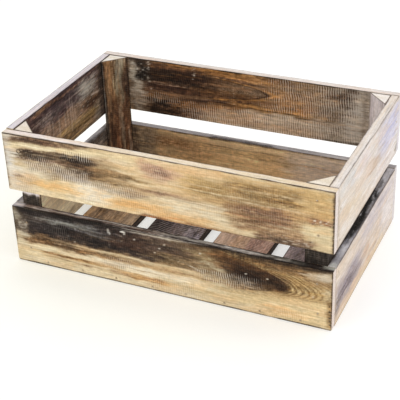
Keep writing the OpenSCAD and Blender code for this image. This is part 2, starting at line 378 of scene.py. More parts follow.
    f.streaks(114, 22, 14, 120, 14, 36, ["#2f241b", "#6d543c", "#c9b79c"], a=(0.35, 0.8), ln=(10, 40))
    f.streaks(115, 16, 350, 400, 4, 64, ["#b98d58", "#a87c4a", "#f0e3c0"], a=(0.3, 0.7), ln=(12, 44))
    f.streaks(116, 10, 172, 268, 68, 76, ["#8d5a34", "#b5713c", "#6a4228"], a=(0.4, 0.8), ln=(8, 26))
    f.add_saw(1.3, 80, 114, 10, 20, fu=8, fv=3)
    f.add_saw(1.4, 30, 58, 26, 45, fu=8, fv=4)
    f.add_saw(1.4, 60, 112, 32, 52, fu=10, fv=4, tilt=0.06)
    f.specks(117, 26, 18, 62, 17, 30, ["#d9cbb2", "#b9a68c"], a=0.6, r=0.6)
    f.add_saw(0.85, 116, 180, 43, 57, fu=14, fv=5)
    f.add_saw(0.45, 10, 36, 52, 76, fu=10, fv=6)
    f.add_saw(0.5, 184, 216, 6, 24, fu=10, fv=5)
    f.add_saw(0.3, 100, 210, 58, 76, fu=20, fv=6)
    f.add_saw(0.17, 236, 358, 10, 60, fu=20)
    f.add_saw(0.09, -5, 405, -5, 80)
    f.add_wash(0.8, 335, 376, 64, 74, fu=10)
    f.add_wash(0.25, 20, 120, 10, 45, fu=16)
    f.add_wash(0.4, 178, 220, 7, 22, fu=12)
    f.add_wash(0.35, 284, 354, 34, 66, fu=16)
    f.settle(dust=0.2)


def front_lower(f):
    # u from the left end, v down from the slat's top edge
    f.many([
        ("#dcc79f", 0.9, -10, 410, -5, 82, dict(rag=0.3)),
        ("#ead9b8", 0.8, 100, 400, 46, 58, dict(fv=6, fu=40)),
        ("#d8bf90", 0.8, 250, 400, 40, 77, dict(fv=8, fu=60)),
    ])
    f.flame(352, 33, 60, 26, 15, "#553b23", "#b5935f", "#735636", period=8.0, reach=42, back=250)
    f.many([
        # right of the middle
        ("#a88e64", 0.85, 214, 262, 6, 38, dict(fv=9, fu=24)),
        ("#b39d72", 0.7, 242, 290, 12, 24, dict(fv=6, fu=18, tilt=0.1)),
        ("#c6b897", 0.85, 240, 288, 21, 30, dict(fv=5, fu=18, tilt=0.05)),
        ("#9a8360", 0.5, 232, 262, 29, 39, dict(fv=5, fu=14)),
        ("#96866e", 0.75, 250, 290, 31, 46, dict(fv=6, fu=14, rag=0.6)),
        ("#57483a", 0.85, 282, 318, 31, 43, dict(fv=6, fu=12, rag=0.6)),
        ("#a39a8b", 0.5, 286, 308, 33, 40, dict(fv=5, fu=8, rag=0.6)),
        ("#c8b48d", 0.6, 244, 310, 47, 52, dict(fv=4, fu=20)),
        ("#a5834f", 0.75, 322, 398, 2, 36, dict(fv=9, fu=18, tilt=0.12)),
        ("#6a5035", 0.9, 218, 330, 1, 9, dict(fv=5, fu=30, tilt=0.01)),
        ("#553b23", 0.9, 262, 392, 1, 10, dict(fv=5, fu=24, tilt=0.02)),
        ("#76583a", 0.75, 322, 398, 7, 17, dict(fv=5, fu=18, tilt=0.16)),
        ("#6b4d2e", 0.8, 258, 340, 8, 22, dict(fv=7, fu=18, tilt=0.14)),
        ("#573a21", 0.9, 262, 340, 12, 30, dict(fv=7, fu=16, tilt=0.16, rag=0.5)),
        ("#382416", 0.96, 276, 350, 16, 37, dict(fv=6, fu=12, tilt=0.12, rag=0.4)),
        ("#22150d", 0.9, 290, 344, 19, 35, dict(fv=6, fu=12, tilt=0.1, rag=0.5)),
        # the charred left
        ("#5f4a35", 0.95, 120, 246, 4, 37.5, dict(fv=4, fu=40, rag=0.6)),
        ("#7c6142", 0.85, 150, 246, 24, 38.5, dict(fv=4, fu=34, rag=0.7)),
        ("#3b2c24", 0.97, -10, 214, 1, 36, dict(fv=4, fu=50, rag=0.5)),
        ("#261d1b", 0.97, 6, 176, 0, 36, dict(fv=4, fu=40, rag=0.4)),
        ("#1a1312", 0.9, 14, 140, 14, 34, dict(fv=8, fu=24)),
        ("#211a18", 0.85, 12, 156, -2, 8, dict(fv=4, fu=20)),
        ("#4d3327", 0.55, 128, 178, 8, 26, dict(fv=8, fu=18, rag=0.8)),
        ("#4b3a30", 0.6, 176, 232, 5, 22, dict(fv=8, fu=24, rag=0.8)),
        ("#8d7650", 0.55, 190, 232, 24, 37, dict(fv=6, fu=16, rag=0.8)),
        ("#7d5f3f", 0.8, -5, 150, 34, 50, dict(fv=7, fu=24, rag=0.6)),
        ("#5a4028", 0.9, 10, 108, 38, 49, dict(fv=5, fu=20, tilt=0.02, rag=0.6)),
        ("#3f2c1c", 0.7, 30, 96, 38, 46, dict(fv=5, fu=16, rag=0.6)),
        ("#8b6c49", 0.8, 92, 180, 39, 49, dict(fv=5, fu=34, rag=0.6)),
        ("#a98b64", 0.7, 150, 300, 41, 49, dict(fv=5, fu=40)),
        ("#dcc8a2", 0.75, 66, 246, 37.6, 40.2, dict(fv=2, fu=30, rag=0.5)),
        # the left end
        ("#aca38f", 0.85, -5, 9, 5, 18, dict(fv=6, fu=5, rag=0.3)),
        ("#6f6252", 0.7, 4, 20, 17, 33, dict(fv=5, fu=6)),
        ("#c9bda5", 0.85, -5, 19, 33, 41, dict(fv=4, fu=8)),
        ("#c7b99c", 0.7, -5, 12, 40, 56, dict(fv=6, fu=10)),
        # grey scuffs on the char
        ("#6f6e68", 0.7, 40, 112, 8, 15, dict(fv=4, fu=20, rag=0.55)),
        ("#9a9a92", 0.65, 48, 82, 9.5, 14.5, dict(fv=3, fu=12, rag=0.5)),
        ("#5f5c57", 0.45, 84, 136, 12, 20, dict(fv=5, fu=16, rag=0.7)),
        ("#5c534f", 0.3, 20, 60, 12, 30, dict(fv=5, fu=16, rag=0.75)),
        # the pale lower part
        ("#e6d6b4", 0.85, -5, 130, 49, 56, dict(fv=4, fu=20)),
        ("#efe2c8", 0.75, 96, 250, 49, 56, dict(fv=4, fu=30)),
        ("#a27a4d", 0.85, 30, 140, 56, 60, dict(fv=2.5, fu=24)),
        ("#7a5633", 0.8, 42, 108, 57, 59, dict(fv=1.6, fu=16)),
        ("#b48c5c", 0.75, 90, 204, 58.5, 61, dict(fv=2, fu=24)),
        ("#e9d6ae", 0.7, 10, 210, 60.5, 62.5, dict(fv=2, fu=24)),
        ("#7c5c3f", 0.8, 84, 112, 62.5, 65.5, dict(fv=2.4, fu=10)),
        ("#8b6443", 0.75, 124, 162, 62, 65, dict(fv=2.4, fu=12)),
        ("#c9995f", 0.85, 148, 206, 60.5, 67, dict(fv=3, fu=16)),
        ("#8a6240", 0.7, 174, 196, 60, 63, dict(fv=2, fu=8)),
        ("#cdb48a", 0.6, 200, 400, 60, 62, dict(fv=2.4, fu=30)),
        ("#e5b77c", 0.75, 326, 374, 59, 70, dict(fv=5, fu=14)),
        ("#ddcbaa", 0.75, -5, 330, 67, 77, dict(fv=4, fu=30)),
        ("#e2c999", 0.6, 360, 396, 44, 62, dict(fv=6, fu=14)),
        # the right end
        ("#a58f73", 0.7, 372, 400, 4, 17, dict(fv=4, fu=8)),
        ("#d6cab6", 0.8, 384, 398, 4, 15, dict(fv=4, fu=6, rag=0.8)),
        ("#d9cdb9", 0.5, 368, 384, 8, 14, dict(fv=4, fu=6, rag=0.9)),
        ("#85663f", 0.8, 393.5, 404, 18, 70, dict(fu=3, rag=0.45)),
        ("#d8c49c", 0.8, 392, 402, 26, 40, dict(fu=4, fv=5)),
        ("#3c2e20", 0.85, 398.4, 404, -2, 72, dict(fu=1.2, rag=0.4)),
        # edges
        ("#cdc4b8", 0.75, 138, 232, 0.8, 3.0, dict(fv=1.4, fu=14, tilt=-0.015, rag=0.5)),
        ("#17110f", 0.95, -5, 148, -2, 3.8, dict(fv=2.2, rag=0.3)),
        ("#1d1511", 0.8, 140, 240, -2, 0.9, dict(fv=0.8, rag=0.5)),
        ("#231811", 0.95, 230, 402, -2, 3.6, dict(fv=2.2, rag=0.4)),
        # painted shade: the dark line along the bottom edge stands for the contact shadow at the floor, over a dark
        # arris
        ("#3a3024", 0.9, -5, 405, 75.2, 79, dict(fv=1.0, rag=0.3)),
        ("#31281f", 0.7, -5, 1.6, 6, 50, dict(fu=1.6, rag=0.3)),
    ])
    f.loop("#a89e90", 0.75, 12, 25, 4.6, 1.8, 0.85)
    f.st("#b5ab9c", 0.6, 8, 18, 24, 26.5, fu=3, fv=1.5, tilt=-0.3, rag=0.6)
    f.spot("#c8bea9", 0.5, 8, 22, 2.5, rag=0.6)
    for u, v, a in ((130, 8, 3.6), (131, 10.5, 2.6)):
        f.spot("#d9d4ca", 0.85, u, v, 0.9, a, rag=0.3)
    f.spot("#efeae0", 0.95, 149, 5.2, 3.4, 1.3, rag=0.2)
    f.spot("#e6e0d4", 0.9, 151, 7.0, 1.4, 2.0, rag=0.2)
    for u, v in ((300.5, 26), (325, 26.5), (378, 37), (194, 17), (201, 11), (163, 12), (188, 24), (245, 12)):
        f.spot("#ece5d8", 0.75, u, v, 1.3, 1.1, rag=0.2)
    for u, v in ((397, 60), (397.6, 64.5), (396, 45), (397, 52), (398, 69)):
        f.spot("#2c2118", 0.85, u, v, 1.2)
    f.streaks(121, 34, 20, 150, 5, 20, ["#77767a", "#9b9b98", "#5c5a5c"], a=(0.2, 0.55), ln=(12, 50), th=(0.4, 0.9), tilt=0.03)
    f.streaks(122, 30, 90, 250, 4, 37, ["#6f5840", "#1f1815", "#8c7658", "#3c2c22"], a=(0.3, 0.7), ln=(14, 60))
    f.streaks(123, 40, -5, 260, 36, 68, ["#6c4a2c", "#8b6540", "#efe2c6", "#a97c4c", "#e8d4aa"], a=(0.3, 0.75), ln=(24, 110), th=(0.45, 1.0), tilt=0.005)
    f.streaks(124, 30, 200, 400, 40, 76, ["#f0e4c8", "#b08d5a", "#ead9b4"], a=(0.25, 0.55), ln=(30, 120), th=(0.5, 1.1), tilt=-0.01)
    f.streaks(125, 10, 216, 262, 8, 38, ["#c4b38d", "#70583c"], a=(0.3, 0.6), ln=(10, 30))
    f.st("#e4dcc8", 0.8, 229, 249, 33.2, 34.4, fu=5, fv=0.8, tilt=0.36, rag=0.3)
    f.rings(352, 36, 64, 29, 15, 6.8, 42, "#55381b", "#d8be88", 0.9, 250)
    f.specks(126, 60, 90, 250, 3, 36, ["#b9aa92", "#8e7d68", "#d8cdb8"], a=0.5, r=0.5)
    f.specks(127, 40, 20, 120, 4, 34, ["#8d8c88", "#6e6b69"], a=0.5, r=0.6)
    f.add_saw(1.4, 246, 288, 31, 48, fu=10, fv=3)
    f.add_saw(0.8, 284, 312, 29, 46, fu=10, fv=3)
    f.add_saw(0.14, 52, 78, 10, 47, fu=6, fv=6)
    f.add_saw(0.7, 122, 156, 42, 60, fu=10, fv=5)
    f.add_saw(0.35, 178, 244, 55, 76, fu=12, fv=5)
    f.add_saw(0.3, 330, 372, 60, 76, fu=12, fv=5)
    f.add_saw(0.05, -5, 405, -5, 80)
    f.add_wash(0.5, 34, 130, 4, 18, fu=20)
    f.add_wash(0.15, 0, 240, 0, 40, fu=20)
    f.settle(dust=0.25)


def right_upper(f):
    # u from the front face of the crate, v down from the rim
    # partly painted highlight: the near-white and lavender tones are partly the wood's own pale tone and partly
    # stand for the strong light from the right
    f.many([
        ("#e0d8d2", 0.9, -10, 270, -5, 80, dict(rag=0.2)),
        ("#e2d4c4", 0.6, -5, 120, 24, 70, dict(fv=14, fu=40, tilt=0.05)),
        ("#ddc9ab", 0.55, 36, 92, 42, 58, dict(fv=9, fu=26, tilt=0.1)),
        ("#d8c2a6", 0.5, 14, 60, 36, 50, dict(fv=9, fu=16, tilt=0.12)),
        ("#e3d0ce", 0.55, 84, 122, 4, 26, dict(fv=10, fu=24)),
        ("#d9c1b0", 0.55, 106, 150, 30, 46, dict(fv=8, fu=16, tilt=0.15)),
        ("#c4a887", 0.75, 140, 168, 36, 46, dict(fv=6, fu=12, tilt=0.15)),
        ("#bfbdbb", 0.7, 54, 66, 4, 24, dict(fv=8, fu=8, rag=0.2)),
        ("#d7d5d3", 0.6, 20, 60, 2, 16, dict(fv=6, fu=14)),
        ("#c9c5d8", 0.85, 160, 250, 2, 52, dict(fv=14, fu=30, tilt=0.05)),
        ("#bcbad6", 0.65, 194, 242, 10, 46, dict(fv=10, fu=16)),
        ("#e8dfdd", 0.6, 150, 245, 52, 76, dict(fv=10, fu=30)),
        ("#d3c3bd", 0.5, 150, 240, 60, 64, dict(fv=3, fu=20)),
        ("#8d827c", 0.7, 126, 214, -2, 2.0, dict(fv=2, fu=14)),
        ("#a79d96", 0.6, 8, 126, -2, 1.0, dict(fv=1.4)),
        ("#8f8881", 0.75, 240, 248, 58, 74, dict(fv=6, fu=4)),
        ("#b5a692", 0.6, 8, 16, 14, 76, dict(fv=6, fu=4, rag=0.6)),
        ("#9d9389", 0.6, -5, 270, 74.6, 80, dict(fv=1.4)),
    ])
    f.streaks(131, 44, -5, 260, 0, 76, ["#f3eeee", "#c6b7b0", "#d8c3ac", "#cfcad8", "#b3a59e"], a=(0.25, 0.6), ln=(24, 110), th=(0.5, 1.3), tilt=0.03)
    f.streaks(132, 12, 120, 175, 28, 48, ["#b48f6c", "#a37f62"], a=(0.3, 0.6), ln=(10, 34), tilt=0.12)
    f.add_saw(0.12, -5, 260, -5, 80)
    f.add_wash(0.3, -5, 260, -5, 80)
    f.settle(("#f2eeee", "#dcc4ad"), hue=0.35, grain=0.11)


def right_lower(f):
    # u from the front face of the crate, v down from the slat's top edge
    # partly painted highlight: the near-white and lavender tones are partly the wood's own pale tone and partly
    # stand for the strong light from the right
    f.many([
        ("#d9cdc6", 0.9, -10, 270, -5, 80, dict(rag=0.2)),
        ("#e0cdb6", 0.6, 0, 120, 8, 32, dict(fv=9, fu=30, tilt=0.08)),
        ("#c6bdc3", 0.7, 110, 240, 4, 30, dict(fv=10, fu=30, tilt=0.06)),
        ("#aaa0a6", 0.6, 172, 204, 10, 17, dict(fv=5, fu=10, tilt=0.08)),
        ("#b8aeb2", 0.6, 160, 204, 38, 50, dict(fv=7, fu=16)),
        ("#ddc4a6", 0.75, 104, 186, 38, 64, dict(fv=9, fu=24)),
        ("#cfa27f", 0.6, 122, 142, 44, 52, dict(fv=5, fu=8)),
        ("#c7a78c", 0.6, 126, 184, 60, 66, dict(fv=4, fu=14, tilt=-0.08)),
        ("#e2c9a4", 0.75, -5, 205, 64, 80, dict(fv=7, fu=30)),
        ("#e7dedb", 0.6, 196, 262, 20, 70, dict(fv=12, fu=30)),
    ])
    f.many([
        ("#ab9ea1", 0.9, 8, 118, 28, 62, dict(fv=12, fu=36, rag=0.4)),
        ("#8b7f85", 0.85, 14, 96, 34, 59, dict(fv=9, fu=30, rag=0.5)),
        ("#6c6167", 0.75, 22, 78, 40, 55, dict(fv=7, fu=22, rag=0.6)),
        ("#776e6a", 0.7, 8, 26, 44, 68, dict(fv=6, fu=6)),
        ("#e0b593", 0.65, 24, 150, 63, 69, dict(fv=4, fu=26, tilt=-0.03, rag=0.5)),
        ("#dcc3a8", 0.7, -5, 130, 62, 72, dict(fv=7, fu=30)),
        ("#4a403b", 0.85, -5, 262, -2, 1.8, dict(fv=1.4, rag=0.4)),
        ("#b19a7c", 0.6, -5, 262, 75, 80, dict(fv=1.6)),
        ("#c3a682", 0.55, 5, 12, 20, 77, dict(fu=4, rag=0.5)),
    ])
    f.streaks(133, 44, -5, 260, 0, 76, ["#efe8e8", "#b9aaa6", "#d5bda2", "#c0b8c4", "#9f9290"], a=(0.25, 0.6), ln=(24, 110), th=(0.5, 1.3), tilt=0.04)
    f.streaks(134, 12, 16, 110, 36, 60, ["#c9bdbc", "#776d70"], a=(0.3, 0.55), ln=(16, 50), tilt=0.02)
    f.add_saw(0.16, -5, 260, -5, 80)
    f.add_wash(0.3, -5, 260, -5, 80)
    f.settle(("#f0eaea", "#d9bfa6"), hue=0.32, grain=0.13)


def back_upper_in(f):
    # u from the left post's corner, v down from the rim
    # painted light: this inner face is painted brighter to make up for the shade inside the crate
    f.gain = 1.5
    f.many([
        ("#8b6d4c", 0.9, -10, 390, -5, 80, dict(rag=0.2)),
        ("#a08b74", 0.95, 90, 350, 50, 78, dict(fv=5, fu=50, tilt=0.0)),
        ("#b9a084", 0.6, 130, 320, 53, 70, dict(fv=8, fu=40)),
        ("#b58d68", 0.6, 142, 216, 56, 74, dict(fv=7, fu=26)),
        ("#c5b8a4", 0.5, 220, 326, 51, 61, dict(fv=5, fu=26)),
        ("#b28b66", 0.55, 235, 290, 66, 76, dict(fv=5, fu=20)),
        # the orange sawn area
        ("#8f6840", 0.95, 204, 316, 3, 47.5, dict(fv=5, fu=34, rag=0.4)),
        ("#a1764a", 0.5, 226, 300, 14, 40, dict(fv=10, fu=26, rag=0.5)),
        ("#866a4e", 0.65, 222, 330, 2, 13, dict(fv=6, fu=26, rag=0.7)),
        ("#8f7558", 0.6, 236, 300, 6, 20, dict(fv=7, fu=22, rag=0.8)),
        ("#a9682f", 0.6, 250, 302, 36, 46, dict(fv=5, fu=20, rag=0.7)),
        # the dark left half
        ("#54392a", 0.95, 36, 214, 4, 48, dict(fv=5, fu=30, rag=0.5)),
        ("#2c1c13", 0.97, 44, 176, 9, 43, dict(fv=5, fu=34, rag=0.6)),
        ("#1a100a", 0.9, 54, 156, 12, 31, dict(fv=8, fu=26, rag=0.5)),
        ("#33211a", 0.85, 60, 150, 31, 41, dict(fv=5, fu=26, rag=0.6)),
        ("#1c110b", 0.97, 46, 110, 52, 78, dict(fv=5, fu=16, rag=0.5)),
        ("#4f3625", 0.8, 92, 134, 52, 76, dict(fv=7, fu=22, rag=0.7)),
        ("#4a3120", 0.85, 56, 250, -1, 9, dict(fv=4, fu=34, rag=0.6)),
        ("#94642f", 0.75, 90, 226, 1.8, 4.2, dict(fv=2.2, fu=34, rag=0.6)),
        ("#ae7b43", 0.85, 142, 236, 4.5, 9.5, dict(fv=4, fu=26, tilt=0.04, rag=0.5)),
        ("#c4935c", 0.7, 166, 218, 2, 7, dict(fv=4, fu=16)),
        ("#7f6046", 0.75, 48, 146, 41, 45, dict(fv=3, fu=22, tilt=-0.01, rag=0.7)),
        ("#684a2f", 0.85, 46, 112, 45, 54, dict(fv=5, fu=22, rag=0.7)),
        ("#36241a", 0.95, 90, 218, 43.5, 49.5, dict(fv=4, fu=24, tilt=-0.09, rag=0.5)),
        ("#855a31", 0.85, 96, 190, 50, 57, dict(fv=5, fu=22, tilt=-0.08, rag=0.6)),
    ])
    d = f.flame(224, 26, 84, 15, 16, "#6b523c", "#9c6f3c", "#84592f", period=6.5, reach=8, a=0.95, back=118)
    f.many([
        ("#7c6650", 0.85, 158, 218, 16, 31, dict(fv=5, fu=12, rag=0.4)),
        ("#6e5035", 0.6, 134, 190, 15, 25, dict(fv=7, fu=26, rag=0.5)),
        ("#2a1a12", 0.8, 100, 152, 10, 22, dict(fv=7, fu=24, rag=0.6)),
        ("#573a22", 0.85, 116, 206, 30, 38, dict(fv=5, fu=20, rag=0.5)),
    ])
    far = ss((f.u - 96) / 60)
    f.over(np.exp(-((d + 2.5) / 3.0) ** 2) * far * (0.4 + 1.1 * f.i), "#2a190e", 0.85)
    f.over(np.exp(-((d - 7.5) / 4.0) ** 2) * far * (0.4 + 1.1 * f.i), "#ad7a40", 0.75)
    f.many([
        ("#a5763f", 0.85, 168, 304, 41, 47, dict(fv=5, fu=26, bow=1.5, rag=0.6)),
        ("#46301d", 0.9, 150, 312, 48.8, 50.0, dict(fv=1.2, fu=8, bow=-2.0, rag=0.4)),
        ("#3a2719", 0.8, 262, 300, 49.5, 51, dict(fv=1.0, fu=6, rag=0.4)),
        # the right end
        ("#8d8070", 0.92, 292, 400, -3, 78, dict(fv=5, fu=30, rag=0.5)),
        ("#a0968a", 0.6, 330, 400, -3, 78, dict(fv=5, fu=12, rag=0.5)),
        ("#3f2d20", 0.9, 300, 330, 8, 18, dict(fv=6, fu=12, rag=0.7)),
        ("#4f3d2e", 0.8, 312, 334, 18, 29, dict(fv=7, fu=8, rag=0.7)),
        ("#5d4936", 0.8, 294, 330, 34, 47, dict(fv=6, fu=14, rag=0.7)),
        ("#3b2c21", 0.8, 325, 338, 2, 7, dict(fv=3, fu=6)),
        ("#b3aba0", 0.65, 322, 352, 18, 76, dict(fv=10, fu=12)),
        ("#7b6d5f", 0.6, 346, 352, -2, 78, dict(fu=3)),
        ("#3a2f26", 0.75, 290, 350, 72.8, 75, dict(fv=1.6, fu=14)),
        # the left end, rubbed grey
        ("#5a4a3c", 0.9, 20, 50, 0, 76, dict(fu=10, rag=0.5)),
        ("#b5ae9e", 0.85, 29, 38, 6, 34, dict(fv=6, fu=6, rag=0.6, tilt=0.2)),
        ("#b9b2a2", 0.8, 33, 44, 26, 48, dict(fv=6, fu=6, rag=0.7)),
        ("#8d8274", 0.8, 29, 48, 44, 74, dict(fv=6, fu=8, rag=0.7)),
        ("#14100d", 0.95, 39, 56, 5, 32, dict(fv=7, fu=8, rag=0.6)),
        ("#1a1410", 0.85, 28, 60, -2, 4, dict(fv=3, fu=8, rag=0.5)),
        ("#20170f", 0.9, -5, 348, -3, 1.3, dict(fv=1.2, rag=0.3)),
    ])
    f.rings(226, 26, 84, 15, 16, 6.5, 9, "#5a3a1c", "#a97840", 0.4, 150)
    f.specks(146, 34, 53, 58, 3, 31, ["#d2cabb", "#9c9184"], a=0.7, r=0.6)
    f.specks(147, 22, 119.5, 123.5, 0, 20, ["#d2cabb", "#9c9184"], a=0.75, r=0.6)
    f.specks(148, 30, 175.5, 178, 2, 72, ["#c9bfae", "#a39684"], a=0.45, r=0.6)
    f.specks(149, 90, 27, 60, 2, 48, ["#1a1511", "#c9c4b8", "#6a6258"], a=0.7, r=0.8)
    f.specks(150, 70, 46, 120, 50, 76, ["#140d09", "#6a4c34"], a=0.6, r=0.8)
    f.streaks(141, 50, 44, 214, 2, 48, ["#6e4c30", "#1d130d", "#8a623c", "#4b3222", "#a58d74"], a=(0.3, 0.7), ln=(18, 80), th=(0.5, 1.1), tilt=-0.01)
    f.streaks(142, 34, 200, 316, 2, 47, ["#6f4c2e", "#b38a58", "#5d402a", "#9c7a55"], a=(0.25, 0.6), ln=(8, 40))
    f.streaks(143, 34, 100, 345, 50, 76, ["#c9bba6", "#8a7058", "#b58c66", "#d0c4b2"], a=(0.3, 0.6), ln=(18, 80))
    f.streaks(144, 22, 44, 130, 50, 76, ["#1c120c", "#7a5738", "#55402f"], a=(0.3, 0.7), ln=(12, 44))
    f.streaks(145, 16, 296, 350, 2, 74, ["#5a4838", "#c6bcae", "#74614f"], a=(0.3, 0.6), ln=(10, 40))
    f.add_saw(1.35, 226, 334, 2, 47, fu=18, fv=4)
    f.add_saw(1.1, 110, 330, 51, 78, fu=30, fv=4)
    f.add_saw(0.8, 42, 104, 46, 60, fu=14, fv=4)
    f.add_saw(0.06, -5, 390, -5, 80)
    f.add_wash(0.9, 30, 60, 2, 50, fu=6)
    f.add_wash(0.2, 60, 200, 5, 45)
    dull = 0.09 * ss((f.u - 170) / 60)[:, None]
    f.c = f.c * (1 - dull) + dull * f.light()[:, None]
    f.settle(("#8f7450", "#8f8070"), hue=0.14, grain=0.2, dust=0.12)


def back_lower_in(f):
    # u from the left post's corner, v down from the slat's top edge
    # painted light: this inner face is painted brighter to make up for the shade inside the crate
    f.gain = 1.8
    f.many([
        ("#a68c66", 0.95, -10, 390, -5, 80, dict(rag=0.2)),
        ("#b9a07a", 0.75, 84, 260, 2, 12, dict(fv=5, fu=40)),
        ("#b4946a", 0.6, 110, 300, 20, 46, dict(fv=10, fu=50, tilt=0.0)),
        ("#c5a271", 0.55, 120, 250, 25, 40, dict(fv=8, fu=36)),
        ("#8a6a48", 0.75, 36, 160, 7, 28, dict(fv=9, fu=40, rag=0.7)),
        ("#6b4d32", 0.75, 40, 110, 11, 24, dict(fv=7, fu=26, rag=0.8)),
        ("#7d5e3f", 0.6, 56, 140, 28, 40, dict(fv=6, fu=26, rag=0.7)),
        ("#96774f", 0.55, 150, 266, 12, 20, dict(fv=6, fu=36, rag=0.7)),
        ("#b3a698", 0.9, 250, 390, 2, 60, dict(fv=10, fu=34, rag=0.4)),
        ("#c0b6ae", 0.7, 270, 390, 1, 9, dict(fv=5, fu=26, rag=0.5)),
        ("#95857a", 0.55, 284, 330, 12, 26, dict(fv=7, fu=18, rag=0.7)),
        ("#5c5042", 0.92, 20, 62, 2, 66, dict(fu=10, rag=0.5)),
        ("#3a2e25", 0.8, 24, 34, 2, 66, dict(fu=4, rag=0.5)),
        ("#86694a", 0.6, -5, 390, 46, 62, dict(fv=10, fu=30)),
        ("#8b6f4c", 0.6, 100, 390, 62, 78, dict(fv=9, fu=50)),
        ("#413528", 0.85, -5, 390, -3, 1.8, dict(fv=1.8, rag=0.5)),
        ("#5e4a35", 0.4, 100, 270, 10.5, 12, dict(fv=1.6, fu=24, rag=0.8)),
        ("#6a5238", 0.4, 150, 300, 19, 20.4, dict(fv=1.6, fu=24, tilt=-0.01, rag=0.8)),
    ])
    f.streaks(151, 50, 30, 330, 2, 60, ["#c9ad82", "#8a6a48", "#d3bb92", "#77583a"], a=(0.25, 0.55), ln=(24, 110), th=(0.6, 1.3))
    f.streaks(152, 16, 258, 322, 2, 40, ["#8a7666", "#b8a698"], a=(0.3, 0.55), ln=(14, 50))
    f.add_saw(0.12, -5, 390, -5, 80)
    f.settle(("#bfa47a", "#96795c"), hue=0.22, grain=0.2, dust=0.2)


def left_upper_in(f):
    # u from the front post's corner towards the back, v down from the rim
    # painted light: this inner face is painted brighter to make up for the shade inside the crate
    f.gain = 1.17
    f.many([
        ("#78614f", 0.95, -10, 245, -5, 80, dict(rag=0.2)),
        ("#42302f", 0.97, 20, 200, -3, 32, dict(fv=7, fu=24, rag=0.3)),
        ("#33262a", 0.7, 70, 150, 2, 24, dict(fv=8, fu=20)),
        ("#8c6f5a", 0.6, 30, 110, 34, 60, dict(fv=12, fu=26)),
        ("#94704f", 0.85, 48, 84, 2, 7, dict(fv=3, fu=12)),
        ("#7d5a3c", 0.6, 70, 150, 4.5, 7.5, dict(fv=2.4, fu=20, tilt=0.03)),
        ("#8c7c72", 0.7, 58, 84, 13, 30, dict(fv=6, fu=10, rag=0.7)),
        ("#86694f", 0.8, 84, 152, 34, 50, dict(fv=7, fu=18)),
        ("#6a5240", 0.7, 100, 150, 30, 38, dict(fv=5, fu=16)),
        ("#a5a297", 0.88, 146, 192, 9, 33, dict(fv=7, fu=12, rag=0.5)),
        ("#bcb9ae", 0.6, 158, 180, 12, 26, dict(fv=6, fu=10, rag=0.5)),
        ("#452f20", 0.9, 160, 208, 36, 52, dict(fv=5, fu=14)),
        ("#c9beb2", 0.85, 178, 202, 35, 36.6, dict(fv=1.2, fu=5, rag=0.1, tilt=0.1)),
        ("#937645", 0.85, 96, 190, 52, 61, dict(fv=4, fu=18)),
        ("#5d4628", 0.85, 100, 176, 61, 68, dict(fv=4, fu=18)),
        ("#8d7550", 0.7, 96, 170, 66, 74, dict(fv=4, fu=18)),
        ("#7f7567", 0.75, 184, 206, 50, 74, dict(fv=7, fu=8)),
        ("#2f2620", 0.85, 199, 240, -3, 80, dict(fu=5, rag=0.3)),
        ("#2a2020", 0.85, -5, 240, -3, 1.3, dict(fv=1.2, rag=0.2)),
        ("#2f241b", 0.7, -5, 240, 74, 79, dict(fv=1.6)),
    ])
    for u, v, h in ((112, 40, 14), (118, 36, 20), (126, 38, 24), (130.5, 34, 16), (135, 42, 14), (70, 40, 12), (76, 36, 12), (83, 38, 14), (89, 40, 10), (97, 42, 12), (151, 51, 4)):
        f.spot("#c3b4a4", 0.5, u, v, 0.8, h, soft=0.8, rag=0.6)
    f.specks(163, 120, 140, 200, 6, 50, ["#c9c6bc", "#8d8a80", "#3a2e28"], a=0.6, r=0.8)
    f.specks(164, 80, 40, 110, 6, 40, ["#b0a6a0", "#6a5a55", "#2b2226"], a=0.5, r=0.7)
    f.streaks(161, 60, 10, 205, 0, 74, ["#2f2320", "#8c735d", "#3c2d28", "#a08466", "#5d4334", "#b9ab9b"], a=(0.3, 0.75), ln=(14, 70), th=(0.5, 1.1), tilt=-0.02)
    f.streaks(162, 14, 90, 190, 50, 74, ["#a98a52", "#4a3620", "#c2a978"], a=(0.4, 0.75), ln=(20, 60))
    f.add_saw(0.4, 55, 160, 10, 60, fu=20)
    f.add_saw(0.06, -5, 245, -5, 80)
    f.add_wash(0.9, 54, 90, 10, 32, fu=10)
    f.add_wash(0.9, 144, 196, 8, 36, fu=10)
    f.settle(("#94745a", "#4b3c3a"), hue=0.25, grain=0.24, dust=0.25)


def left_lower_in(f):
    # u from the front post's corner towards the back, v down from the top
    # painted light: this inner face is painted brighter to make up for the shade inside the crate
    f.gain = 1.75
    f.many([
        ("#b5a78b", 0.95, -10, 245, -5, 80, dict(rag=0.2)),
        ("#c8bda3", 0.5, 20, 120, 20, 60, dict(fv=10, fu=30)),
        ("#9c8a6c", 0.6, 60, 200, 30, 50, dict(fv=8, fu=30)),
        ("#54463b", 0.92, 130, 240, -3, 60, dict(fv=8, fu=26)),
        ("#2a211c", 0.9, 150, 235, -3, 16, dict(fv=6, fu=20)),
        ("#8f8478", 0.5, 176, 196, 10, 40, dict(fv=8, fu=6, rag=0.8)),
        ("#7a6750", 0.7, -5, 240, 66, 80, dict(fv=6)),
    ])
    f.streaks(171, 30, 0, 235, 0, 77, ["#8d7757", "#d4cab2", "#6f5a44"], a=(0.3, 0.6), ln=(20, 80))
    f.add_saw(0.7, -5, 245, -5, 80, rag=0.1)
    f.settle(("#c2b08a", "#a5835e"), hue=0.25, grain=0.22, dust=0.4)


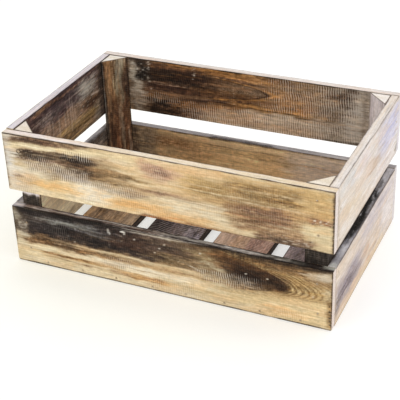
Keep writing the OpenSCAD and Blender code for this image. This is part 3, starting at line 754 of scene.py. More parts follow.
def plain(seed, base="#d6bf98", dark=0.5, gain=1.0):
    def paint(f):
        f.c[:] = shown(base)
        # painted light: gain brightens faces that lie in shade, such as the slats' inner faces
        f.gain = gain
        weathered(f, f.u.max(), f.v.max(), seed, dark)
        f.streaks(seed + 200, 40, 0, f.u.max(), 0, f.v.max(), ["#8a6c48", "#efe2c4", "#6f5238", "#c89a66"], a=(0.25, 0.6), ln=(24, 110))
        f.settle(hue=0.28, grain=0.2)
    return paint


def top_edge(kind):
    """The narrow upper side: rubbed pale, made paler still by a painted highlight for the light from above,
    with a burnt line on the arrises. The grey kind is a painted-shade copy for the tops of the lower slats,
    which lie in shade under the upper slats. u along the slat, v from the outer face to the inner."""
    def paint(f):
        T = f.v.max()
        base, line, mid, warm = {
            "front": ("#eee2d0", "#3a2d24", "#dccab0", "#e6c9a4"),
            "back": ("#e9e3de", "#6a5a50", "#d2c6bf", "#dfc3b0"),
            "right": ("#ebe4de", "#5b4f48", "#d8cdc5", "#e6d2bc"),
            "left": ("#e2dde2", "#564d4c", "#c9c3cb", "#dccdc8"),
            # painted shade: a darker copy of the top edge for the lower slats' tops under the upper slats
            "grey": ("#b3aeb0", "#4a4341", "#8f8b8f", "#a39a94"),
        }[kind]
        f.c[:] = shown(base)
        f.st(mid, 0.6, -5, 500, T * 0.25, T * 0.5, fu=30, fv=3, rag=0.8)
        f.st(warm, 0.5, -5, 500, T * 0.55, T * 0.8, fu=30, fv=2, rag=0.8)
        if kind == "grey":
            f.st("#2b2422", 0.8, 150, 240, T * 0.5, T + 2, fu=12, fv=3, rag=0.9)
        if kind == "front":
            f.st("#ece0df", 0.9, -5, 120, 1, 9, fu=50)
            f.st("#efdcb9", 0.6, 150, 420, 1, 9, fu=40)
        f.streaks(int(T * 10) + len(kind), 24, 0, f.u.max(), 0.5, T - 0.5, [mid, warm, "#f6f1ec", line], a=(0.2, 0.5), ln=(20, 80), th=(0.4, 0.8))
        f.st(line, 0.8, -5, 500, -2, 0.8, fv=1.0, rag=0.6)
        f.st(line, 0.8, -5, 500, T - 0.8, T + 2, fv=1.0, rag=0.6)
        f.add_saw(0.06, -5, 500, -5, 20)
        f.ring_k[:] = 0.3
        f.settle(("#f4efe9", warm), hue=0.3, grain=0.08, dust=0.0)
    return paint


def front_lower_top(f):
    # the ledge seen in the gap: u from the left end, v from the outer face
    f.c[:] = shown("#2e2521")
    # painted light: the ledge in the gap is painted brighter to make up for its shade
    f.gain = 1.15
    f.many([
        ("#5a463c", 0.7, 26, 130, 2.6, 6.6, dict(fu=12, fv=2, rag=0.5)),
        ("#c3bec6", 0.97, -8, 13, -3, 14, dict(fu=6, fv=3, rag=0.2)),
        ("#dcd6d4", 0.85, 6, 14, 2, 11, dict(fu=4, rag=0.3)),
        ("#b39c90", 0.85, 13, 34, 2.5, 9.5, dict(fu=6, fv=2, rag=0.5)),
        ("#c9c2bc", 0.85, 30, 50, 1.5, 7, dict(fu=7, fv=2, rag=0.5)),
        ("#3b302a", 0.8, 18, 44, 4.6, 5.8, dict(fu=4, fv=1.0, rag=0.3)),
        ("#b7aa9f", 0.9, 52, 100, 4.2, 6.8, dict(fu=8, fv=1.4, tilt=0.02, rag=0.4)),
        ("#8f8a93", 0.7, 70, 104, 6.6, 8.4, dict(fu=8, fv=1.2, rag=0.4)),
        ("#c5bdb2", 0.85, 96, 190, 6.2, 7.8, dict(fu=12, fv=1.2, rag=0.5)),
        ("#6a5548", 0.7, 110, 200, 3.4, 5.6, dict(fu=14, fv=1.4, rag=0.6)),
        ("#a9a59a", 0.7, 190, 262, 5.0, 8.0, dict(fu=14, fv=2, rag=0.9)),
        ("#8d8780", 0.75, 200, 345, 3.5, 8.5, dict(fu=18, fv=3, rag=1.0)),
        ("#cfc6bf", 0.6, 256, 318, 4.4, 7.6, dict(fu=14, fv=2, rag=1.0)),
        ("#3f3d36", 0.7, 318, 372, 1.5, 9, dict(fu=14, fv=3, rag=0.6)),
        ("#b9bbb2", 0.85, 386, 410, 2.5, 12, dict(fu=8, fv=3, rag=0.5)),
        ("#1a1410", 0.95, 10, 150, -3, 1.8, dict(fv=1.6, rag=0.3)),
        ("#1a1410", 0.9, 225, 396, -3, 1.6, dict(fv=1.6, rag=0.3)),
        ("#1c1511", 0.85, 44, 392, 9.0, 13, dict(fv=1.0, rag=0.35)),
        ("#d8d0c4", 0.8, 138, 236, -2, 1.2, dict(fv=1.4, rag=0.5)),
    ])
    f.streaks(181, 60, 190, 350, 2, 9, ["#d6d0c6", "#1d1713", "#8d867c", "#efe8e2"], a=(0.35, 0.85), ln=(4, 16), th=(0.5, 1.0))
    f.streaks(182, 26, 14, 190, 2, 9, ["#cdbfb2", "#211a16", "#7d6658"], a=(0.3, 0.7), ln=(12, 50), th=(0.4, 0.8))
    f.add_wash(0.8, 190, 350, 1, 9, fu=20)
    f.ring_k[:] = 0.3
    f.settle(grain=0.18, hue=0.1, dust=0.3)


def right_lower_top(f):
    # the ledge on the right: u from the front, v from the outer face
    f.c[:] = shown("#b3b0b6")
    # painted light: the ledge in the gap is painted brighter to make up for its shade
    f.gain = 1.05
    f.many([
        ("#c9cbc4", 0.9, -8, 8, -2, 12, dict(fu=6, rag=0.3)),
        ("#7b7b84", 0.8, 14, 60, 4, 9, dict(fu=14, fv=3, rag=0.6)),
        ("#dcdadf", 0.85, 26, 52, 1, 6, dict(fu=10, fv=3, rag=0.5)),
        ("#2b2829", 0.95, 58, 196, 3, 12, dict(fu=24, fv=3, rag=0.6)),
        ("#131110", 0.97, 64, 170, 0.5, 12, dict(fu=18, fv=3, rag=0.5)),
        ("#8a878c", 0.8, 120, 150, 1, 5, dict(fu=10, fv=2, rag=0.9)),
        ("#cfccd2", 0.85, 186, 245, -1, 10, dict(fu=20, rag=0.5)),
        ("#4a4545", 0.7, 176, 204, 2, 9, dict(fu=8, rag=0.8)),
        ("#1f1a18", 0.9, 10, 245, 8.8, 13, dict(fv=1.2, rag=0.4)),
        ("#4a423f", 0.7, -5, 245, -2, 0.7, dict(fv=1.0, rag=0.6)),
    ])
    f.streaks(183, 30, 60, 235, 1, 9, ["#d4d0d2", "#161211", "#8d8888"], a=(0.35, 0.85), ln=(5, 22), th=(0.5, 1.1))
    f.add_wash(0.8, 60, 200, 1, 9, fu=20)
    f.settle(("#e2dfe2", "#8f8a90"), grain=0.15, hue=0.2, dust=0.3)


def bottom_edge(f):
    f.c[:] = shown("#c3ab84")
    T = f.v.max()
    f.st("#8a6f50", 0.7, -5, 500, T * 0.3, T * 0.6, fu=40, fv=3, rag=0.7)
    f.st("#51402f", 0.7, -5, 500, -2, 1, fv=1.2, rag=0.5)
    f.st("#51402f", 0.7, -5, 500, T - 1, T + 2, fv=1.2, rag=0.5)
    f.settle(grain=0.16)


def dark_side(f):
    # the long sides of the base boards, painted almost black
    f.c[:] = shown("#2a211b")
    f.st("#4a382b", 0.7, -5, 500, 2, 6, fu=40, fv=3, rag=0.9)
    f.settle(grain=0.2, hue=0.1, dust=0.2)


def end_grain(base="#c9b593", shade="#7c664a", rings=0.45, line=0.5):
    def paint(f):
        # u across the board's height, v across its thickness
        f.c[:] = shown(base)
        H, T = f.u.max(), f.v.max()
        arc = np.hypot(f.u - 0.4 * H, (f.v - 2.5 * T) * 1.5) + 1.5 * f.wu
        f.over((0.5 + 0.5 * np.cos(arc * 2 * np.pi / 3.1)) ** 2, shade, rings)
        f.st(shade, 0.5, -5, H + 5, -2, 0.7, fv=1.2, rag=0.7)
        f.st(shade, line, -5, H + 5, T - 0.7, T + 2, fv=1.2, rag=0.7)
        f.ring_k[:] = 0.0
        f.over(ss((f.i - 0.45) * 4), "#f1ebe4", 0.25)
    return paint


def base_top(kind):
    # u from the front, v from the slat's left side
    def paint(f):
        # painted light: the base boards are painted brighter to make up for the shade inside the crate
        f.gain = 1.3
        if kind == 1:
            f.c[:] = shown("#7d654c")
            f.many([("#a5855f", 0.85, -5, 240, -3, 8, dict(fv=8, fu=30)), ("#5c4632", 0.8, -5, 240, 10, 26, dict(fv=9, fu=40, rag=0.8)),
                    ("#94795a", 0.8, -5, 240, 34, 56, dict(fv=9, fu=30, rag=0.6)), ("#a08a70", 0.7, 20, 200, 56, 72, dict(fv=8, fu=30))])
            f.streaks(191, 40, 0, 235, 0, 72, ["#3d2c1f", "#b3966e", "#5a4330"], a=(0.3, 0.7), ln=(20, 90))
            saw = 0.4
        elif kind == 2:
            f.c[:] = shown("#4a3e3c")
            f.many([("#2b2325", 0.9, -5, 240, -3, 26, dict(fv=12, fu=40, rag=0.6)), ("#6d615f", 0.8, -5, 240, 34, 60, dict(fv=10, fu=30, rag=0.7)),
                    ("#8f8a96", 0.75, 0, 110, 52, 74, dict(fv=9, fu=30, rag=0.6))])
            f.streaks(192, 30, 0, 235, 0, 72, ["#241c1c", "#8d7f78", "#5a4a46"], a=(0.3, 0.6), ln=(20, 90))
            saw = 0.5
            f.add_saw(2.0, -5, 70, -5, 80, fu=40, rag=0.1)
        elif kind == 3:
            f.c[:] = shown("#ab8f7e")
            f.many([("#8a6c60", 0.85, -5, 240, 40, 74, dict(fv=12, fu=40, rag=0.7)), ("#c0a58e", 0.7, -5, 220, -3, 18, dict(fv=8, fu=30)),
                    ("#c09a72", 0.6, 0, 200, 20, 40, dict(fv=8, fu=30, rag=0.7)), ("#7b5c50", 0.6, 0, 200, 44, 54, dict(fv=6, fu=30, rag=0.7))])
            f.streaks(193, 40, 0, 235, 0, 72, ["#6d5046", "#d0b59c", "#94725f"], a=(0.3, 0.6), ln=(20, 90))
            saw = 0.6
        else:
            f.c[:] = shown("#7d6f70")
            f.many([("#5f5254", 0.8, -5, 240, 10, 40, dict(fv=12, fu=40, rag=0.7)), ("#8b7a74", 0.7, -5, 240, 50, 70, dict(fv=8, fu=30))])
            f.streaks(194, 40, 0, 235, 0, 72, ["#4a3f40", "#a1928c", "#6a5a56"], a=(0.3, 0.6), ln=(20, 90))
            saw = 0.6
        f.st("#2f251d", 0.85, -5, 245, -3, 0.9, fv=1.2, rag=0.4)
        f.st("#2f251d", 0.85, -5, 245, f.v.max() - 0.9, 200, fv=1.2, rag=0.4)
        f.add_saw(saw, -5, 245, -5, 80, rag=0.1)
        f.settle(("#a08c78", "#8d6f5a"), hue=0.2, grain=0.22, dust=0.3)
    return paint


# ---------------------------------------------------------------- materials
def wood_material():
    mat = bpy.data.materials.new("torched_wood")
    mat.use_nodes = True
    nt = mat.node_tree
    nt.nodes.clear()
    N, K = nt.nodes, nt.links

    def node(kind, **props):
        n = N.new(kind)
        for k, v in props.items():
            setattr(n, k, v)
        return n

    def attr(name, out):
        return node("ShaderNodeAttribute", attribute_name=name).outputs[out]

    def put(socket, value):
        if hasattr(value, "is_output") or isinstance(value, bpy.types.NodeSocket):
            K.new(value, socket)
        else:
            socket.default_value = value

    def math_(op, a, b=None, c=None, clamp=False):
        n = node("ShaderNodeMath", operation=op, use_clamp=clamp)
        for i, x in enumerate((a, b, c)):
            if x is not None:
                put(n.inputs[i], x)
        return n.outputs[0]

    def scaled(vec, scale, offset=(0, 0, 0)):
        n = node("ShaderNodeMapping")
        put(n.inputs["Vector"], vec)
        n.inputs["Scale"].default_value = scale
        n.inputs["Location"].default_value = offset
        return n.outputs[0]

    def noise_(vec, scale=1.0, detail=3.0, rough=0.55, distortion=0.0):
        n = node("ShaderNodeTexNoise")
        put(n.inputs["Vector"], vec)
        n.inputs["Scale"].default_value = scale
        n.inputs["Detail"].default_value = detail
        n.inputs["Roughness"].default_value = rough
        n.inputs["Distortion"].default_value = distortion
        return n.outputs["Fac"]

    def ramp(x, lo, hi, a=0.0, b=1.0):
        n = node("ShaderNodeMapRange", interpolation_type="SMOOTHSTEP")
        put(n.inputs["Value"], x)
        for key, val in (("From Min", lo), ("From Max", hi), ("To Min", a), ("To Max", b)):
            n.inputs[key].default_value = val
        return n.outputs["Result"]

    def mix(kind, fac, a, b):
        n = node("ShaderNodeMix", data_type="RGBA", blend_type=kind)
        put(n.inputs["Factor"], fac)
        put(n.inputs["A"], a)
        put(n.inputs["B"], b)
        return n.outputs["Result"]

    place = attr("wood_place", "Vector")
    tint = attr("wood_tint", "Color")
    sep = node("ShaderNodeSeparateXYZ")
    K.new(attr("wood_marks", "Vector"), sep.inputs[0])
    saw_k, wash_k, end_k = sep.outputs
    rsep = node("ShaderNodeSeparateXYZ")
    K.new(attr("wood_rings", "Vector"), rsep.inputs[0])
    ring, ring_k, edge_k = rsep.outputs
    psep = node("ShaderNodeSeparateXYZ")
    K.new(place, psep.inputs[0])

    grain = noise_(scaled(place, (0.045, 1.15, 1.15)), 1.0, 5, 0.62)
    fibre = noise_(scaled(place, (0.12, 3.6, 3.6), (7, 3, 1)), 1.0, 3, 0.6)
    broad = noise_(scaled(place, (0.018, 0.28, 0.28), (3, 9, 5)), 1.0, 3, 0.55)
    mottle = noise_(scaled(place, (0.32, 0.42, 0.42), (1, 2, 3)), 1.0, 4, 0.62)
    speck = noise_(scaled(place, (0.9, 1.3, 1.3), (11, 4, 8)), 1.0, 3, 0.6)

    # growth lines that follow the ring field
    phase = math_("ADD", ring, math_("MULTIPLY", grain, 0.5))
    wave = math_("SINE", math_("MULTIPLY", phase, 2 * math.pi))
    rline = ramp(wave, 0.2, 1.0)

    # saw marks across the board, 2.7 mm apart, or more where place is stretched
    sway = noise_(scaled(place, (0.03, 0.05, 0.05), (2, 6, 4)), 1.0, 2, 0.5)
    fine = noise_(scaled(place, (0.35, 0.12, 0.12), (5, 1, 7)), 1.0, 3, 0.6)
    sx = math_("ADD", psep.outputs[0], math_("MULTIPLY", psep.outputs[1], 0.06))
    sx = math_("ADD", sx, math_("MULTIPLY", sway, 5.0))
    sx = math_("ADD", sx, math_("MULTIPLY", fine, 0.9))
    sawwave = math_("SINE", math_("MULTIPLY", sx, 2 * math.pi / 2.7))
    broken = ramp(noise_(scaled(place, (0.07, 0.09, 0.09), (8, 2, 6)), 1.0, 4, 0.7), 0.30, 0.62)
    light_line = math_("MULTIPLY", ramp(sawwave, 0.25, 0.95), math_("MULTIPLY", saw_k, broken), clamp=True)
    dark_line = math_("MULTIPLY", ramp(math_("MULTIPLY", sawwave, -1.0), 0.2, 0.95), math_("MULTIPLY", saw_k, broken), clamp=True)

    # colour: lighter and darker streaks of the same wood, then lines and marks
    col = tint
    g = ramp(grain, 0.28, 0.72, 0.78, 1.22)
    b = ramp(broad, 0.3, 0.7, 0.92, 1.08)
    m = ramp(mottle, 0.3, 0.7, 0.80, 1.20)
    fb = ramp(fibre, 0.3, 0.7, 0.88, 1.12)
    gain = math_("MULTIPLY", math_("MULTIPLY", g, b), math_("MULTIPLY", m, fb))
    # pale wood shows its figure less than burnt wood does
    tsep = node("ShaderNodeSeparateColor")
    K.new(tint, tsep.inputs[0])
    depth = ramp(tsep.outputs[1], 0.04, 0.55, 1.3, 0.34)
    gain = math_("ADD", math_("MULTIPLY", math_("SUBTRACT", gain, 1.0), depth), 1.0)
    gain = math_("MAXIMUM", gain, 0.2)
    comb = node("ShaderNodeCombineColor")
    # darker streaks are browner: red falls less than blue
    K.new(math_("POWER", gain, 0.85), comb.inputs[0])
    K.new(gain, comb.inputs[1])
    K.new(math_("POWER", gain, 1.25), comb.inputs[2])
    col = mix("MULTIPLY", 1.0, col, comb.outputs[0])
    col = mix("MULTIPLY", math_("MULTIPLY", rline, math_("MULTIPLY", ring_k, 0.45)), col, (0.42, 0.30, 0.18, 1))
    pores = ramp(noise_(scaled(place, (0.16, 2.6, 2.6), (9, 9, 9)), 1.0, 2, 0.5), 0.63, 0.74)
    col = mix("MULTIPLY", math_("MULTIPLY", pores, 0.25), col, (0.30, 0.22, 0.15, 1))
    col = mix("MULTIPLY", math_("MULTIPLY", dark_line, 0.72), col, (0.28, 0.21, 0.17, 1))
    col = mix("MIX", math_("MULTIPLY", light_line, 0.5), col, (0.78, 0.71, 0.62, 1))
    scuff = noise_(scaled(place, (0.22, 1.5, 1.5), (4, 12, 2)), 1.0, 4, 0.65)
    flecks = math_("ADD", ramp(speck, 0.60, 0.78), math_("MULTIPLY", ramp(scuff, 0.56, 0.80), 0.5), clamp=True)
    flecks = math_("MULTIPLY", flecks, wash_k)
    col = mix("MIX", math_("MULTIPLY", flecks, 0.5), col, (0.58, 0.54, 0.48, 1))
    endspots = math_("MULTIPLY", ramp(speck, 0.5, 0.75), end_k)
    col = mix("MULTIPLY", math_("MULTIPLY", endspots, 0.6), col, (0.35, 0.27, 0.19, 1))

    bsdf = node("ShaderNodeBsdfPrincipled")
    K.new(col, bsdf.inputs["Base Color"])
    rough = ramp(grain, 0.25, 0.75, 0.62, 0.88)
    rough = math_("ADD", rough, math_("MULTIPLY", light_line, 0.1), clamp=True)
    K.new(rough, bsdf.inputs["Roughness"])
    bsdf.inputs["Specular IOR Level"].default_value = 0.12

    height = math_("ADD", math_("MULTIPLY", grain, 0.5), math_("MULTIPLY", fibre, 0.25))
    height = math_("ADD", height, math_("MULTIPLY", mottle, 0.25))
    height = math_("SUBTRACT", height, math_("MULTIPLY", pores, 0.35))
    height = math_("ADD", height, math_("MULTIPLY", math_("MULTIPLY", sawwave, saw_k), 0.28))
    height = math_("SUBTRACT", height, math_("MULTIPLY", rline, math_("MULTIPLY", ring_k, 0.18)))
    bump = node("ShaderNodeBump")
    bump.inputs["Strength"].default_value = 0.55
    bump.inputs["Distance"].default_value = 0.0006
    K.new(height, bump.inputs["Height"])
    K.new(bump.outputs[0], bsdf.inputs["Normal"])
    out = node("ShaderNodeOutputMaterial")
    K.new(bsdf.outputs[0], out.inputs["Surface"])
    return mat


def steel_material():
    mat = bpy.data.materials.new("dull_nail_steel")
    mat.use_nodes = True
    nt = mat.node_tree
    bsdf = nt.nodes["Principled BSDF"]
    geo = nt.nodes.new("ShaderNodeTexCoord")
    n1 = nt.nodes.new("ShaderNodeTexNoise")
    n1.inputs["Scale"].default_value = 900
    n1.inputs["Detail"].default_value = 4
    n2 = nt.nodes.new("ShaderNodeTexNoise")
    n2.inputs["Scale"].default_value = 260
    ramp = nt.nodes.new("ShaderNodeValToRGB")
    ramp.color_ramp.elements[0].position = 0.38
    ramp.color_ramp.elements[0].color = (0.30, 0.21, 0.13, 1)
    ramp.color_ramp.elements[1].position = 0.66
    ramp.color_ramp.elements[1].color = (0.66, 0.55, 0.40, 1)
    nt.links.new(geo.outputs["Object"], n1.inputs["Vector"])
    nt.links.new(geo.outputs["Object"], n2.inputs["Vector"])
    nt.links.new(n2.outputs["Fac"], ramp.inputs["Fac"])
    nt.links.new(ramp.outputs[0], bsdf.inputs["Base Color"])
    mr = nt.nodes.new("ShaderNodeMapRange")
    mr.inputs["To Min"].default_value = 0.45
    mr.inputs["To Max"].default_value = 0.8
    nt.links.new(n1.outputs["Fac"], mr.inputs["Value"])
    nt.links.new(mr.outputs[0], bsdf.inputs["Roughness"])
    bsdf.inputs["Metallic"].default_value = 0.6
    bump = nt.nodes.new("ShaderNodeBump")
    bump.inputs["Strength"].default_value = 0.4
    bump.inputs["Distance"].default_value = 0.0002
    nt.links.new(n1.outputs["Fac"], bump.inputs["Height"])
    nt.links.new(bump.outputs[0], bsdf.inputs["Normal"])
    return mat


WOOD = wood_material()
STEEL = steel_material()


# ---------------------------------------------------------------- geometry
NEAR = [0.0, 0.3, 0.7, 1.15, 1.7, 2.4]


def grid_lines(length, step, at=()):
    """Lines across one side of a board: closer at its edges and at nails."""
    pts = [(x, 0) for x in NEAR] + [(length - x, 0) for x in NEAR]
    for c in at:
        for d in (-2.2, -1.65, -1.2, -0.6, 0, 0.6, 1.2, 1.65, 2.2):
            if 2.7 < c + d < length - 2.7:
                pts.append((c + d, 1))
    n = max(2, int(round((length - 6.4) / step)))
    for x in np.linspace(3.2, length - 3.2, n + 1):
        if all(abs(x - c) > 2.7 for c in at):
            pts.append((x, 2))
    pts.sort()
    out = [pts[0]]
    for p in pts[1:]:
        if p[0] - out[-1][0] >= 0.28:
            out.append(p)
        elif p[1] == 0:
            out[-1] = p
    return np.array([p[0] for p in out])


LONG = (2.1, 0.85)      # grid along and across the grain
SHORT = (2.4, 0.95)
FLAT = (3.2, 1.3)


def thick_lines(t):
    return np.array([0, 0.3, 0.7, 1.2, 2.0, 3.5, t / 2, t - 3.5, t - 2.0, t - 1.2, t - 0.7, t - 0.3, t])


def make_mesh(name, node, verts, faces, tint, place, marks, rings, material, flip):
    mesh = bpy.data.meshes.new(name)
    if flip:
        faces = faces[:, ::-1]
    mesh.from_pydata((verts * MM).tolist(), [], faces.tolist())
    mesh.polygons.foreach_set("use_smooth", np.ones(len(mesh.polygons), bool))
    a = mesh.attributes.new("wood_tint", "FLOAT_COLOR", "POINT")
    a.data.foreach_set("color", np.c_[np.clip(tint, 0, 0.93), np.ones(len(verts))].astype(np.float32).ravel())
    for key, val in (("wood_place", place), ("wood_marks", marks), ("wood_rings", rings)):
        a = mesh.attributes.new(key, "FLOAT_VECTOR", "POINT")
        a.data.foreach_set("vector", val.astype(np.float32).ravel())
    mesh.materials.append(material)
    mesh.update()
    obj = bpy.data.objects.new(name, mesh)
    bpy.context.scene.collection.objects.link(obj)
    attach(obj, "root")
    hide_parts(node)
    return obj


def board(name, node, size, world, nails, paints, seed, corner=1.3, arris=0.9,
          bend=None, chips=(), step=LONG, uv_out=None, uv_in=None, low_corner=None, pitch=1.0):
    """A board as a closed shell. size = (length, height, thickness); world maps
    s along, h up, t inwards from the outer face. paints: out, in, top, bottom, ends."""
    L, H, T = size
    S = grid_lines(L, step[0], [n[0] for n in nails])
    Hh = grid_lines(H, step[1], [n[1] for n in nails])
    Tt = thick_lines(T)
    nS, nH, nT = len(S), len(Hh), len(Tt)
    idx = -np.ones((nS, nH, nT), np.int64)
    ii, jj, kk = np.meshgrid(np.arange(nS), np.arange(nH), np.arange(nT), indexing="ij")
    mask = (ii == 0) | (ii == nS - 1) | (jj == 0) | (jj == nH - 1) | (kk == 0) | (kk == nT - 1)
    I, J, K = ii[mask], jj[mask], kk[mask]
    idx[I, J, K] = np.arange(len(I))
    s0, h0, t0 = S[I], Hh[J], Tt[K]

    def quads(a):
        return np.stack([a[:-1, :-1], a[1:, :-1], a[1:, 1:], a[:-1, 1:]], -1).reshape(-1, 4)

    faces = np.concatenate([
        quads(idx[:, :, 0])[:, ::-1], quads(idx[:, :, -1]),
        quads(idx[:, 0, :]), quads(idx[:, -1, :])[:, ::-1],
        quads(idx[0, :, :])[:, ::-1], quads(idx[-1, :, :]),
    ])

    # worn arrises: the radius varies along them, with a few chips
    top = (h0 > H / 2).astype(float)
    inner = (t0 > T / 2).astype(float)
    right = (s0 > L / 2).astype(float)
    r = arris * (0.75 + 0.7 * fbm(s0 / 9 + 13 * top, h0 / 9 + 7 * inner, seed, 3))
    for cs, ch, ct, cr, cl in chips:
        r = r + cr * np.exp(-((s0 - cs) / cl) ** 2) * (np.abs(top - ch) < 0.5) * (np.abs(inner - ct) < 0.5) * (np.minimum(h0, H - h0) < 6)
    r = np.clip(r, 0.5, 2.35)
    ds, dh, dt = np.minimum(s0, L - s0), np.minimum(h0, H - h0), np.minimum(t0, T - t0)
    e = np.minimum(ds, dh)
    a, b = np.maximum(r - e, 0), np.maximum(r - dt, 0)
    n = np.hypot(a, b)
    on = (a > 0) & (b > 0)
    e1 = np.where(on, r - a / np.maximum(n, 1e-9) * r, e)
    dt1 = np.where(on, r - b / np.maximum(n, 1e-9) * r, dt)
    R = np.where(top > 0, corner, low_corner or corner)
    ca, cb = np.maximum(R - ds, 0), np.maximum(R - dh, 0)
    cn = np.hypot(ca, cb)
    inc = (ca > 0) & (cb > 0)
    ds1 = np.where(inc, R - ca / np.maximum(cn, 1e-9) * (R - e1), np.where(ds <= dh, e1 + (ds - e), ds))
    dh1 = np.where(inc, R - cb / np.maximum(cn, 1e-9) * (R - e1), np.where(dh < ds, e1 + (dh - e), dh))
    s = np.where(s0 > L / 2, L - ds1, ds1)
    h = np.where(h0 > H / 2, H - dh1, dh1)
    t = np.where(t0 > T / 2, T - dt1, dt1)

    outf, inf = K == 0, K == nT - 1
    topf, botf = J == nH - 1, J == 0
    end0, end1 = I == 0, I == nS - 1
    tint = np.zeros((len(I), 3))
    marks = np.zeros((len(I), 3))
    rings = np.zeros((len(I), 3))
    dent = np.zeros(len(I))
    weight = np.zeros(len(I))
    jobs = [
        (outf, "out", (uv_out or (lambda s, h, t: (s, H - h))), 1),
        (inf, "in", (uv_in or (lambda s, h, t: (s, H - h))), 2),
        (topf, "top", lambda s, h, t: (s, t), 3),
        (botf, "bottom", lambda s, h, t: (s, t), 4),
        (end0, "ends", lambda s, h, t: (h, t), 5),
        (end1, "ends", lambda s, h, t: (h, t), 6),
    ]
    for m, key, uv, k in jobs:
        u, v = uv(s0[m], h0[m], t0[m])
        f = Face(u, v, seed * 31 + k * 101, "#d0b98f")
        paints[key](f)
        if key == "out":
            for ns, nh in nails:
                q = np.hypot(s0[m] - ns, h0[m] - nh)
                f.over(ss((2.4 - q) / 1.4), "#8d7256", 0.22)
                f.dent = np.maximum(f.dent, 0.35 * ss((1.6 - q) / 0.4))
        # the face's gain is painted light: shaded faces are painted brighter to make up for their shade
        tint[m] += to_lin(np.clip(f.c, 0, 1)) * f.gain
        marks[m, 0] += f.saw
        marks[m, 1] += f.wash
        rings[m, 0] += f.ring
        rings[m, 1] += f.ring_k
        dent[m] += f.dent
        weight[m] += 1
        if key == "ends":
            marks[m, 2] += 1
    tint /= weight[:, None]
    marks /= weight[:, None]
    rings[:, :2] /= weight[:, None]
    # low relief, always inwards: cupping, grain ridges, dents
    rel = 0.20 * fbm(s0 / 60, h0 / 22 + 3 * inner, seed + 3, 2) + 0.16 * fbm(s0 / 16, h0 / 1.9 + t0, seed + 4, 2)
    rel = rel + 0.10 * marks[:, 0] * fbm(s0 / 4, h0 / 9, seed + 6, 2)
    fade = ss(e / 2.5) * 0.85 + 0.15
    t = t + np.where(outf, rel * fade + dent, 0) - np.where(inf, rel * fade, 0)
    rel2 = 0.28 * fbm(s0 / 30, t0 / 6, seed + 7, 3)
    h = h - np.where(topf, rel2, 0) + np.where(botf, rel2 * 0.5, 0)
    s = s + np.where(end0, rel2, 0) - np.where(end1, rel2, 0)
    if bend is not None:
        s, h, t = bend(s, h, t)
    verts = np.stack(world(s, h, t), -1)
    axes = np.array([np.array(world(*p), float) - np.array(world(0.0, 0.0, 0.0), float)
                     for p in ((1.0, 0.0, 0.0), (0.0, 1.0, 0.0), (0.0, 0.0, 1.0))])
    flip = np.linalg.det(axes) < 0
    place = np.stack([s0 * pitch + seed * 137.0, h0 + seed * 61.0, t0 + seed * 29.0], -1)
    # on the board's ends the grain points out, so it isn't stretched there
    return make_mesh(name, node, verts, faces, tint, place, marks, rings, WOOD, flip)


CRATE = dict(hx=200.0, hy=127.5, t=10.0, low=77.0, gap=22.0, up=76.0)
UZ = CRATE["low"] + CRATE["gap"]


def nails_long(side_list, height):
    return [((n[1] if n[0] < 0 else 400 - n[1]), n[2]) for n in side_list]


BASE_X = (-134, -41, 49, 140)
FL_N = [[-1, 18, 56], [-1, 20, 21], [1, 18, 58], [1, 16.5, 19.5]]
FU_N = [[-1, 19, 54], [-1, 16.5, 22], [1, 20, 62], [1, 18, 20]]
BL_N = [[-1, 19, 57], [-1, 18, 20], [1, 19, 55], [1, 17.5, 21]]
BU_N = [[-1, 18, 60], [-1, 19, 21], [1, 19.5, 57], [1, 18, 19]]
BASE_N = [(200 + x + d, 4.85) for x in BASE_X for d in (-24, 24)]
SIDE_LOW = [(y, z) for z in (30, 67) for y in (9, 226)]
SIDE_UP = [(y, z) for z in (8, 46) for y in (9, 226)]


def crown(s, h, t):
    # the front's upper slat is a little higher in the middle of its rim
    drop = 1.0 * ((s - 200) / 200) ** 2
    return s, h - drop * ss(h / 76), t


board("front_upper_slat", "slat_front_upper", (400, 76, 10),
      lambda s, h, t: (s - 200, t - 127.5, UZ + h), nails_long(FU_N, 76),
      {"out": front_upper, "in": plain(31, "#b99a70", 0.6, 1.4), "top": top_edge("front"), "bottom": bottom_edge, "ends": end_grain("#e8dcd5", "#d3c2b4", 0.25, 0.0)},
      11, bend=crown, corner=1.0, chips=[(120, 1, 0, 0.9, 6), (372, 0, 0, 1.0, 9), (250, 0, 0, 0.8, 10), (310, 1, 0, 0.5, 12)])
board("front_lower_slat", "slat_front_lower", (400, 77, 10),
      lambda s, h, t: (s - 200, t - 127.5, h), nails_long(FL_N, 77) + BASE_N,
      {"out": front_lower, "in": plain(32, "#b2946a", 0.6, 1.4), "top": front_lower_top, "bottom": bottom_edge, "ends": end_grain("#e4d5cb", "#cdb9ab", 0.25, 0.0)},
      12, corner=1.6, low_corner=2.4, chips=[(60, 1, 0, 0.8, 9), (150, 1, 0, 1.0, 4), (230, 1, 0, 0.6, 12), (390, 1, 0, 0.8, 5)])
board("back_upper_slat", "slat_back_upper", (400, 76, 10),
      lambda s, h, t: (s - 200, 127.5 - t, UZ + h), nails_long(BU_N, 76),
      {"out": plain(33, "#d2b88c", 0.55), "in": back_upper_in, "top": top_edge("back"), "bottom": bottom_edge, "ends": end_grain("#dfdade", "#b9b0b0", 0.3, 0.3)},
      13, uv_in=lambda s, h, t: (s - 10, 76 - h), pitch=0.87)
board("back_lower_slat", "slat_back_lower", (400, 77, 10),
      lambda s, h, t: (s - 200, 127.5 - t, h), nails_long(BL_N, 77) + BASE_N,
      {"out": plain(34, "#cfb386", 0.6), "in": back_lower_in, "top": top_edge("grey"), "bottom": bottom_edge, "ends": end_grain("#ddd6d6", "#b5aaa6", 0.3, 0.3)},
      14, uv_in=lambda s, h, t: (s - 10, 77 - h), pitch=0.87)
